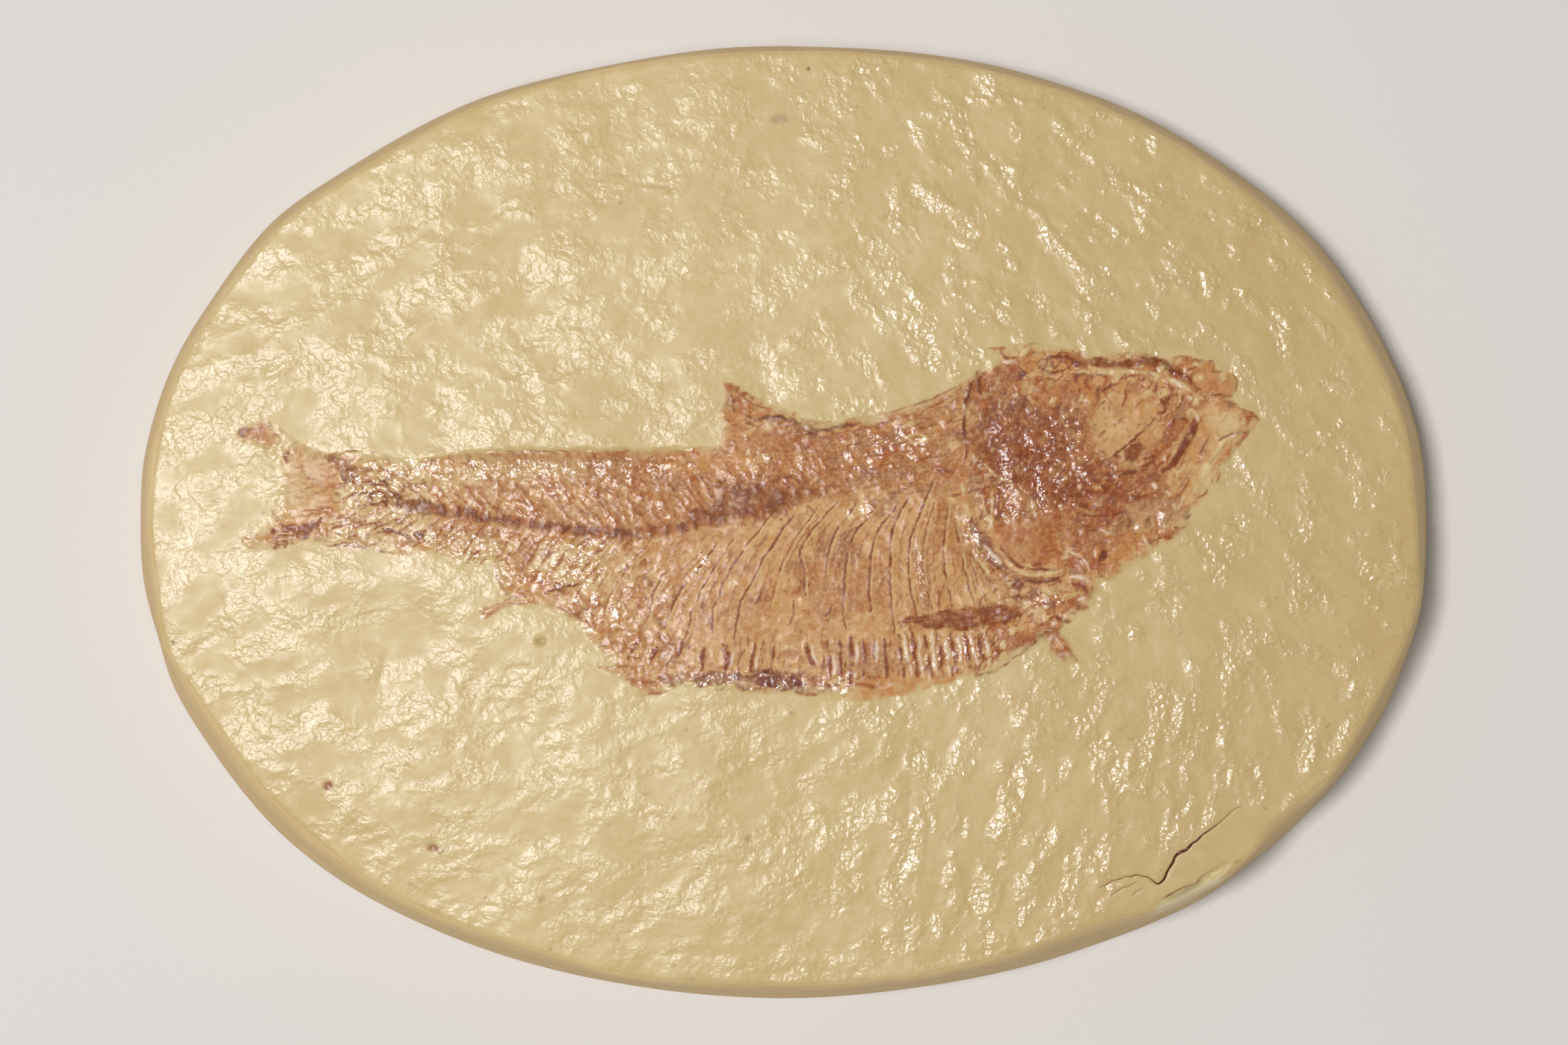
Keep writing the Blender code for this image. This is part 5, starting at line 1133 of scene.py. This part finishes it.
def blank_sheets(x, y):
    """Slightly bent coordinates, empty stains, and the random patterns that several layers share."""
    sheet = {
        "x": x + 0.1 * bumps(x, y, 1.3, 87, 2) + 0.05 * bumps(x, y, 0.4, 88),
        "y": y + 0.1 * bumps(x, y, 1.3, 91, 2) + 0.05 * bumps(x, y, 0.4, 92),
    }
    for name in STAINS + ("rise", "film"):
        sheet[name] = np.zeros(x.shape)
    for name, size, seed, octaves in (
        ("wobble", 0.5, 81, 1), ("breaks", 1.4, 83, 2), ("mottle", 1.5, 85, 3), ("fine", 0.55, 86, 2),
        ("coarse", 1.9, 101, 3), ("ripple", 0.62, 105, 2), ("grain", 0.3, 131, 2),
    ):
        sheet[name] = bumps(x, y, size, seed, octaves)
    sheet["inside"] = shore(x, y)
    sheet["near_fish"] = smooth((sheet["inside"] + 0.25) / 0.4)
    return sheet


def fish_regions(x, y, mottle):
    """Shares of the fish's regions: 1 well inside each, 0 outside."""
    head = smooth((x - 14.6) / 2.0)
    grainy = 1.5 * blob(x, y, 20.4, 5.6, 8.4, 7.6) + 1.1 * blob(x, y, 27.0, 2.6, 7.6, 4.4, 14.0)
    grainy = smooth(grainy + 0.55 * mottle - 0.28) * head
    grainy *= 1.0 - 0.75 * smooth(2.4 * bumps(x, y, 1.7, 171, 2) - 0.55)
    return {
        "head": head,
        "grainy": grainy,
        "belly": smooth((x + 14.0) / 6.0) * (1.0 - smooth((x - 16.0) / 3.0)) * smooth((1.5 - y) / 3.0),
        "rear": 1.0 - smooth((x + 10.0) / 6.0),
        "back": smooth((x + 9.0) / 4.0) * (1.0 - head) * smooth((y - 1.5) / 2.0),
        "orbit": smooth(2.2 * blob(x, y, 28.4, 8.0, 4.8, 3.8, 20.0)),
        "opercle": smooth(2.2 * blob(x, y, 20.4, -2.0, 4.2, 3.2)),
        "jaws": smooth(2.2 * blob(x, y, 34.6, 6.0, 3.4, 6.6, -32.0)),
        "tail_skin": smooth(1.8 * blob(x, y, -39.4, 3.4, 3.0, 4.4)),
    }


def mottle_film(sheet, region, x, y):
    """The cloudy ground of the film, streaked along the muscles."""
    belly, rear = region["belly"], region["rear"]
    coarse, ripple = sheet["coarse"], sheet["ripple"]
    hatch = bumps(x, y, 0.42, 109, 2, 5.0, 62.0)
    flow = bumps(x, y, 0.4, 113, 2, 6.0, 6.0)
    upright = bumps(x, y, 0.42, 117, 2, 7.0, 84.0)
    streaks = rear * hatch + (1.0 - rear) * (belly * upright + (1.0 - belly) * flow)
    sheet["streaks"] = streaks
    sheet["orange"] = 0.5 * smooth(0.4 + 1.1 * coarse) + 0.35 * smooth(0.1 + 1.4 * ripple)
    sheet["orange"] *= 1.0 - 0.4 * belly
    sheet["brown"] = 0.5 * smooth(1.5 * streaks - 0.15) * (0.5 + 0.5 * smooth(0.5 + coarse))
    sheet["brown"] *= 1.0 - 0.6 * belly
    at_least(sheet, "brown", 0.6 * rear * smooth(1.8 * ripple + 0.9 * coarse - 0.5))
    cloudy = 1.2 * bumps(x, y, 2.4, 211, 3) + 0.8 * bumps(x, y, 0.5, 215, 2, 2.0, 10.0)
    at_least(sheet, "brown", 0.55 * belly * smooth(cloudy - 0.05))
    at_least(sheet, "purple", 0.5 * belly * smooth(2.4 * bumps(x, y, 0.7, 219, 2) - 0.9))
    sheet["pale"] = 0.4 * smooth(1.4 * bumps(x, y, 1.2, 121, 2) - 0.1) * (0.4 + 0.6 * np.maximum(belly, rear))
    at_least(sheet, "purple", 0.4 * smooth(1.6 * bumps(x, y, 2.6, 125, 2) - 0.4))


def shatter(sheet, region, y):
    """Splintered bone of the back, the rear body and the skull: pieces of several stains with dark seams."""
    bare_skull = 1.0 - np.maximum(region["orbit"], np.maximum(region["opercle"], region["jaws"]))
    beside_spine = smooth((np.abs(y - 1.0) - 0.6) / 1.0)
    for shattered, size, seed, stretch, turn in (
        (0.75 * region["back"], 0.6, 201, 2.4, 14.0),
        (0.6 * region["rear"] * beside_spine, 0.62, 203, 2.0, -38.0),
        (region["head"] * bare_skull, 0.7, 205, 1.3, 50.0),
    ):
        value, from_edge = shards(sheet["x"], sheet["y"], size, seed, stretch, turn)
        lined = shattered * (1.0 - smooth(from_edge / 0.16))
        for name, low, high in SHARD_STAINS:
            inside_band = ((value > low) & (value < high)) * (0.4 + 0.5 * (high - value) / (high - low))
            at_least(sheet, name, shattered * inside_band * smooth(from_edge / 0.2))
        at_least(sheet, "brown", 0.9 * lined)
        at_least(sheet, "dark", 0.45 * lined * smooth(0.5 + sheet["mottle"]))
        sheet["rise"] += shattered * (0.05 * (value - 0.5) * smooth(from_edge / 0.25) - 0.02 * lined)


def grain_skull(sheet, grainy, x, y):
    """Dark granular crust on the skull and cheek."""
    grain = sheet["grain"]
    clots = bumps(x, y, 0.9, 135, 2)
    at_least(sheet, "brown", grainy * smooth(0.75 + 1.2 * grain))
    at_least(sheet, "dark", 0.75 * grainy * smooth(1.8 * grain + 0.8 * clots - 0.25))
    at_least(sheet, "orange", grainy * smooth(-1.6 * grain + 0.9 * clots))
    sheet["pale"] *= 1.0 - 0.8 * grainy


def draw_backbone(sheet, x, y):
    """The dark band of the backbone, its vertebrae and their spines."""
    away = to_line(sheet["x"], sheet["y"], BACKBONE)[0]
    ragged = away + 0.28 * bumps(x, y, 1.3, 95, 2) + 0.12 * bumps(x, y, 0.4, 97)
    band = (1.0 - smooth((ragged - 0.1) / 0.75)) * (1.0 - smooth(x / 4.0)) * smooth((x + 34.0) / 3.0)
    sheet["band"] = band
    at_least(sheet, "dark", 0.72 * band * smooth(0.4 + 1.2 * sheet["mottle"] + 0.7 * sheet["ripple"]))
    at_least(sheet, "brown", band * 0.75)
    sheet["rise"] += 0.04 * band
    for kind, half_width, line in backbone_bones():
        if kind == "vertebra":
            draw_line(sheet, "dark", half_width, line, 0.85 if line[1][0] < 2.0 else 0.35)
        else:
            draw_line(sheet, kind, half_width, line, 0.95)


def draw_bones(sheet, x, y):
    """Ribs, keel, fins and skull, and the raised fin over the belly."""
    for line in between_ribs():
        draw_line(sheet, "red", 0.05, line, 0.75, 0.4)
    for kind, half_width, line in RIBS:
        draw_line(sheet, kind, 0.6 * half_width, line, 1.0, 0.5)
        # Painted highlight: a thin pale line along one side of each rib.
        draw_line(sheet, "pale", 0.05, [(px + 0.22, py) for px, py in line], 0.8, 0.4)
    for kind, half_width, line in SCUTES + keel_struts() + BODY_LINES + HEAD_LINES:
        draw_line(sheet, kind, half_width, line)
    paddle = depth_inside(x, y, PADDLE_FIN)
    sheet["rise"] += 0.1 * smooth(paddle / 0.35)
    sheet["rise"] += 0.03 * smooth(paddle / 0.3) * bumps(x, y, 0.3, 141, 1, 9.0, 6.0)


def set_glitter(sheet, region, x, y):
    """How strongly the varnish beads and sparkles at each place."""
    glitter = np.zeros(x.shape)
    for strength, mid_x, mid_y, half_length, half_height, turn in GLITTER:
        spot = strength * smooth(1.8 * blob(x, y, mid_x, mid_y, half_length * 1.3, half_height * 1.3, turn))
        glitter = np.maximum(glitter, spot)
    coarse = sheet["coarse"]
    lowest = 0.16 - 0.08 * region["belly"] + 0.3 * region["rear"] * (0.6 + coarse)
    glitter = np.clip(glitter + 0.3 * coarse, lowest, 1.0)
    for damping, share in (
        (0.75, sheet["band"]),
        (0.6, smooth(1.8 * blob(x, y, -3.0, 1.8, 6.0, 2.2, 10.0))),
        (0.6, region["opercle"]),
        (0.5, region["jaws"]),
        (0.5, region["orbit"]),
        (0.9, region["tail_skin"]),
        (0.7, smooth(2.0 * blob(x, y, -44.4, 7.4, 2.8, 1.8))),
        (0.6, smooth(2.0 * blob(x, y, -41.2, -0.9, 3.6, 1.8))),
    ):
        glitter = glitter * (1.0 - damping * share)
    sheet["glitter"] = glitter


def fish_height(sheet, region, x, y):
    """Height of the fish: the stone's face, the body's swelling, beads, grain and every drawn bone."""
    head, rear, inside = region["head"], region["rear"], sheet["inside"]
    lively = (1.0 - 0.65 * region["belly"]) * (1.0 - 0.85 * region["tail_skin"])
    rise = 0.03 + lively * (0.035 * sheet["coarse"] + 0.014 * sheet["ripple"])
    for mid_x, mid_y, half_length, half_height, height in SWELLINGS:
        rise = rise + height * blob(x, y, mid_x, mid_y, half_length, half_height)
    beads = bumps(x, y, 1.1, 151, 2) * (1.0 - head) + 0.6 * bumps(x, y, 0.7, 153, 2) * head
    rise = rise + sheet["glitter"] * ((0.026 + 0.018 * rear) * beads + 0.01 * bumps(x, y, 0.5, 155))
    rise = rise + 0.025 * region["grainy"] * sheet["grain"] + 0.008 * sheet["streaks"]
    rise = rise + sheet["rise"]
    shape = 0.025 * smooth((inside + 0.35) / 0.5) - 0.02 + rise * smooth(inside / 0.8)
    shape += 1.1 * np.minimum(inside + 0.3, 0.0)
    shape -= LEDGE_HEIGHT * ledge_share(x, y)
    return np.minimum(stone_face(x, y) + shape, TOP_LIMIT)


def set_film(sheet, x, y):
    """Where the film hides the bare stone: a ragged edge, and faint places on the tail."""
    inside, ledge = sheet["inside"], ledge_share(x, y)
    ragged = inside - 0.1 + 0.45 * ledge + (0.55 - 0.45 * ledge) * bumps(x, y, 2.2, 161, 3)
    ragged += 0.2 * bumps(x, y, 0.5, 165, 2)
    sheet["film"] = np.maximum(sheet["film"], smooth(ragged / 0.8)) * smooth((inside + 0.15) / 0.3)
    sheet["film"] *= 1.0 - 0.8 * smooth(1.6 * blob(x, y, -41.7, 6.7, 1.3, 1.5, -40.0))
    sheet["film"] *= 1.0 - 0.85 * smooth(blob(x, y, -43.6, 2.9, 4.4, 4.0) + 0.2 * sheet["mottle"])


def close_underside(mesh):
    """Walls from the relief's border down to a flat underside."""
    shape = bmesh.new()
    shape.from_mesh(mesh)
    border = [e for e in shape.edges if e.is_boundary]
    walls = bmesh.ops.extrude_edge_only(shape, edges=border)["geom"]
    low_edges = []
    for part in walls:
        if isinstance(part, bmesh.types.BMVert):
            part.co.z = FISH_UNDERSIDE * MM
        if isinstance(part, bmesh.types.BMEdge):
            low_edges.append(part)
    bmesh.ops.contextual_create(shape, geom=low_edges)
    bmesh.ops.recalc_face_normals(shape, faces=shape.faces)
    shape.to_mesh(mesh)
    shape.free()


def build_fish():
    """The fish: a film of stained stone with every bone, ray and crust in fine relief."""
    x, y, faces = fish_grid()
    sheet = blank_sheets(x, y)
    region = fish_regions(x, y, sheet["mottle"])
    mottle_film(sheet, region, x, y)
    shatter(sheet, region, y)
    for patch in PATCHES:
        draw_patch(sheet, *patch)
    grain_skull(sheet, region["grainy"], x, y)
    for kind, half_width, line, strength in splinters():
        draw_line(sheet, kind, half_width, line, strength, 0.3)
    draw_backbone(sheet, x, y)
    draw_bones(sheet, x, y)
    set_glitter(sheet, region, x, y)
    verts = np.stack([x, y, fish_height(sheet, region, x, y)], axis=1)
    set_film(sheet, x, y)
    shown = {name: sheet[name] for name in STAINS + ("glitter", "film")}
    thing = make_mesh_object("fish_relief", verts, faces, shown)
    close_underside(thing.data)
    return thing


# Materials

def linear(red, green, blue):
    """Linear colour from the 0 to 255 values of a screen colour."""
    made = []
    for value in (red, green, blue):
        value /= 255.0
        made.append(value / 12.92 if value <= 0.04045 else ((value + 0.055) / 1.055) ** 2.4)
    return (*made, 1.0)


class Painter:
    """Builds the nodes of one material."""

    def __init__(self, name):
        self.material = bpy.data.materials.new(name)
        self.material.use_nodes = True
        self.tree = self.material.node_tree
        self.shader = self.tree.nodes["Principled BSDF"]
        self.place = self.tree.nodes.new("ShaderNodeTexCoord").outputs["Object"]

    def wire(self, source, target):
        """Link an output, or set a number or colour."""
        if isinstance(source, bpy.types.NodeSocket):
            self.tree.links.new(source, target)
        else:
            target.default_value = source

    def eastward(self):
        """Metres towards the fish's head from the middle of the slab."""
        node = self.tree.nodes.new("ShaderNodeSeparateXYZ")
        self.tree.links.new(self.place, node.inputs["Vector"])
        return node.outputs["X"]

    def noise(self, size, detail=2.0, rough=0.5, stretch=None, warp=0.0):
        """Noise with bumps of a size in millimetres."""
        place = self.place
        if stretch is not None:
            mapping = self.tree.nodes.new("ShaderNodeMapping")
            self.tree.links.new(place, mapping.inputs["Vector"])
            mapping.inputs["Scale"].default_value = stretch
            place = mapping.outputs["Vector"]
        node = self.tree.nodes.new("ShaderNodeTexNoise")
        self.tree.links.new(place, node.inputs["Vector"])
        node.inputs["Scale"].default_value = 1.0 / (size * MM)
        node.inputs["Detail"].default_value = detail
        node.inputs["Roughness"].default_value = rough
        node.inputs["Distortion"].default_value = warp
        return node.outputs["Fac"]

    def spread(self, value, low, high, to_low=0.0, to_high=1.0):
        """Map the range low..high to another range, held at its ends."""
        node = self.tree.nodes.new("ShaderNodeMapRange")
        self.wire(value, node.inputs["Value"])
        for name, number in (("From Min", low), ("From Max", high), ("To Min", to_low), ("To Max", to_high)):
            node.inputs[name].default_value = number
        return node.outputs["Result"]

    def sheet(self, name):
        """A value stored on the points of the mesh."""
        node = self.tree.nodes.new("ShaderNodeAttribute")
        node.attribute_name = name
        return node.outputs["Fac"]

    def maths(self, kind, one, two):
        """Arithmetic on two values."""
        node = self.tree.nodes.new("ShaderNodeMath")
        node.operation = kind
        self.wire(one, node.inputs[0])
        self.wire(two, node.inputs[1])
        return node.outputs["Value"]

    def times(self, one, two):
        """Product of two values."""
        return self.maths("MULTIPLY", one, two)

    def mix(self, share, one, two):
        """Colour one turning into colour two by a share."""
        node = self.tree.nodes.new("ShaderNodeMix")
        node.data_type = "RGBA"
        colours = {socket.name: socket for socket in node.inputs if socket.type == "RGBA"}
        self.wire(share, node.inputs["Factor"])
        self.wire(one, colours["A"])
        self.wire(two, colours["B"])
        return next(socket for socket in node.outputs if socket.type == "RGBA")

    def bump(self, height, depth, before=None):
        """Bump of a depth in millimetres, on top of another one."""
        node = self.tree.nodes.new("ShaderNodeBump")
        node.inputs["Distance"].default_value = depth * MM
        self.wire(height, node.inputs["Height"])
        if before is not None:
            self.tree.links.new(before, node.inputs["Normal"])
        return node.outputs["Normal"]

    def finish(self, colour, roughness, normal, coat=None, shine=0.22, coat_rough=0.19):
        """Link the shader's inputs."""
        self.shader.inputs["Specular IOR Level"].default_value = shine
        self.wire(colour, self.shader.inputs["Base Color"])
        self.wire(roughness, self.shader.inputs["Roughness"])
        self.wire(normal, self.shader.inputs["Normal"])
        if coat is not None:
            self.wire(normal, self.shader.inputs["Coat Normal"])
            self.wire(coat, self.shader.inputs["Coat Weight"])
            self.shader.inputs["Coat Roughness"].default_value = coat_rough
        return self.material


def stone_colours(painter):
    """The pale tan limestone, mottled, with painted shade that makes it a little darker towards the fish's
    head, and small dots.
    """
    broad = painter.spread(painter.noise(14.0, 3.0, 0.55), 0.35, 0.65)
    cloudy = painter.spread(painter.noise(3.2, 4.0, 0.6, warp=0.4), 0.36, 0.68)
    fine = painter.spread(painter.noise(0.5, 3.0, 0.6), 0.35, 0.7)
    colour = painter.mix(broad, linear(203, 180, 124), linear(211, 190, 138))
    colour = painter.mix(painter.times(cloudy, 0.6), colour, linear(194, 168, 104))
    colour = painter.mix(painter.times(fine, 0.28), colour, linear(222, 206, 162))
    # Painted shade: the fall of the light across the slab, darker towards the fish's head.
    ahead = painter.spread(painter.eastward(), -0.02, 0.05, 0.0, 0.5)
    colour = painter.mix(ahead, colour, linear(186, 158, 104))
    dots = painter.spread(painter.noise(1.1, 1.0, 0.5), 0.73, 0.78)
    return painter.mix(painter.times(dots, 0.35), colour, linear(150, 112, 66))


def face_material():
    """Varnished limestone of the face."""
    painter = Painter("varnished_limestone")
    colour = stone_colours(painter)
    # Painted shade: the face darker and more orange in its small hollows.
    hollow_shade = painter.spread(painter.sheet("hollow_shade"), 0.15, 0.85, 0.0, 0.2)
    colour = painter.mix(hollow_shade, colour, linear(188, 158, 104))
    colour = painter.mix(painter.times(painter.sheet("greenish"), 0.7), colour, linear(206, 194, 146))
    for name, stain in (
        ("ochre", linear(150, 112, 48)),
        ("rust", linear(138, 70, 46)),
        ("soot", linear(62, 50, 38)),
        ("crack", linear(104, 52, 28)),
    ):
        colour = painter.mix(painter.sheet(name), colour, stain)
    pebbly = painter.times(painter.noise(0.46, 1.0, 0.5, warp=0.3), painter.sheet("varnish"))
    rough = painter.spread(painter.noise(2.0, 3.0), 0.3, 0.7, 0.34, 0.48)
    coat = painter.spread(painter.sheet("gloss"), 0.0, 1.0, 0.015, 0.52)
    return painter.finish(colour, rough, painter.bump(pebbly, 0.09), coat)


def wall_material():
    """Bare cut limestone of the slanting wall and underside."""
    painter = Painter("cut_limestone")
    colour = stone_colours(painter)
    bands = painter.spread(painter.noise(1.8, 3.0, 0.6, (0.35, 0.35, 2.6)), 0.35, 0.7)
    colour = painter.mix(0.55, colour, linear(244, 212, 160))
    colour = painter.mix(painter.times(bands, 0.25), colour, linear(208, 170, 118))
    colour = painter.mix(painter.sheet("greenish"), colour, linear(240, 226, 184))
    scored = painter.noise(0.6, 2.0, 0.5, (1.0, 1.0, 0.3))
    normal = painter.bump(scored, 0.02, painter.bump(painter.noise(1.8, 2.0), 0.05))
    return painter.finish(colour, painter.spread(bands, 0.0, 1.0, 0.62, 0.75), normal)


def fish_material():
    """Stained film and bone under varnish, fading into the bare stone at its edge."""
    painter = Painter("varnished_fossil_bone")
    bare = stone_colours(painter)
    cloud = painter.spread(painter.noise(1.2, 4.0, 0.6, warp=0.5), 0.35, 0.68)
    speckle = painter.spread(painter.noise(0.3, 3.0, 0.65), 0.34, 0.7)
    colour = painter.mix(cloud, linear(210, 172, 120), linear(196, 150, 94))
    for name, strength, stain in (
        ("orange", 0.75, linear(187, 116, 54)),
        ("pale", 0.85, linear(212, 190, 138)),
        ("brown", 0.92, linear(150, 70, 36)),
        ("purple", 0.85, linear(144, 88, 74)),
        ("dark", 0.94, linear(92, 38, 22)),
        # White: pale bone and painted glints of the varnish.
        ("white_bone_and_glint", 0.8, linear(238, 226, 212)),
    ):
        ragged = painter.maths("ADD", painter.sheet(name), painter.spread(speckle, 0.0, 1.0, -0.16, 0.16))
        share = painter.times(painter.spread(ragged, 0.06, 0.92), strength)
        colour = painter.mix(share, colour, stain)
    colour = painter.mix(painter.sheet("film"), bare, colour)
    beads = painter.times(painter.noise(0.54, 1.0, 0.5, warp=0.4), painter.sheet("glitter"))
    rough = painter.spread(speckle, 0.0, 1.0, 0.32, 0.45)
    coat = painter.spread(painter.sheet("glitter"), 0.0, 1.0, 0.02, 0.42)
    return painter.finish(colour, rough, painter.bump(beads, 0.085), coat, 0.09, 0.14)


# Floor, lights and camera

def build_floor():
    """A plain pale floor just under the slab."""
    mesh = bpy.data.meshes.new("floor")
    corners = [(-FLOOR_REACH, -FLOOR_REACH, 0.0), (FLOOR_REACH, -FLOOR_REACH, 0.0),
               (FLOOR_REACH, FLOOR_REACH, 0.0), (-FLOOR_REACH, FLOOR_REACH, 0.0)]
    mesh.from_pydata(corners, [], [(0, 1, 2, 3)])
    floor = bpy.data.objects.new("floor", mesh)
    floor.location.z = -FLOOR_GAP
    bpy.context.scene.collection.objects.link(floor)
    painter = Painter("floor_paper")
    shade = painter.mix(painter.noise(60.0, 2.0), linear(226, 224, 219), linear(222, 220, 215))
    mesh.materials.append(painter.finish(shade, 0.8, painter.bump(painter.noise(0.4), 0.01)))


def build_lights():
    """Round soft lights that shine at the middle of the slab, and a soft sky."""
    for name, place, size, power, colour in LIGHTS:
        data = bpy.data.lights.new(name, "AREA")
        data.shape = "DISK"
        data.size = size
        data.energy = power
        data.color = colour
        light = bpy.data.objects.new(name, data)
        light.location = place
        light.rotation_euler = (-Vector(place)).to_track_quat("-Z", "Y").to_euler()
        bpy.context.scene.collection.objects.link(light)
    world = bpy.data.worlds.new("studio")
    world.use_nodes = True
    sky = world.node_tree.nodes["Background"]
    sky.inputs["Color"].default_value = SKY_COLOUR
    sky.inputs["Strength"].default_value = SKY_STRENGTH
    bpy.context.scene.world = world


def build_camera():
    """Camera straight above the slab."""
    scene = bpy.context.scene
    data = bpy.data.cameras.new("camera")
    data.lens = LENS
    data.sensor_width = SENSOR
    data.clip_start = 0.01
    data.clip_end = 20.0
    camera = bpy.data.objects.new("camera", data)
    camera.location = (0.0, 0.0, (FACE_Z + CAMERA_HEIGHT) * MM)
    scene.collection.objects.link(camera)
    scene.camera = camera
    scene.view_settings.view_transform = "Standard"


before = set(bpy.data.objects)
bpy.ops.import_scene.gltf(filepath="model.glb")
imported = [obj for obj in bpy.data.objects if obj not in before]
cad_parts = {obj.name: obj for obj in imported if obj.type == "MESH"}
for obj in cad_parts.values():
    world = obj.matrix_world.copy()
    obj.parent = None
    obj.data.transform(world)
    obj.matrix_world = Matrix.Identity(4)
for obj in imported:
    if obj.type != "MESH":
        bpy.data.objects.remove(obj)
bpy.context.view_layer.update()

stone = build_stone()
stone.data.materials.append(face_material())
stone.data.materials.append(wall_material())
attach(stone, "root")
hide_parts("limestone_slab")

fish = build_fish()
fish.data.materials.append(fish_material())
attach(fish, "root")
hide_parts("fossil_fish")

build_floor()
build_camera()
build_lights()
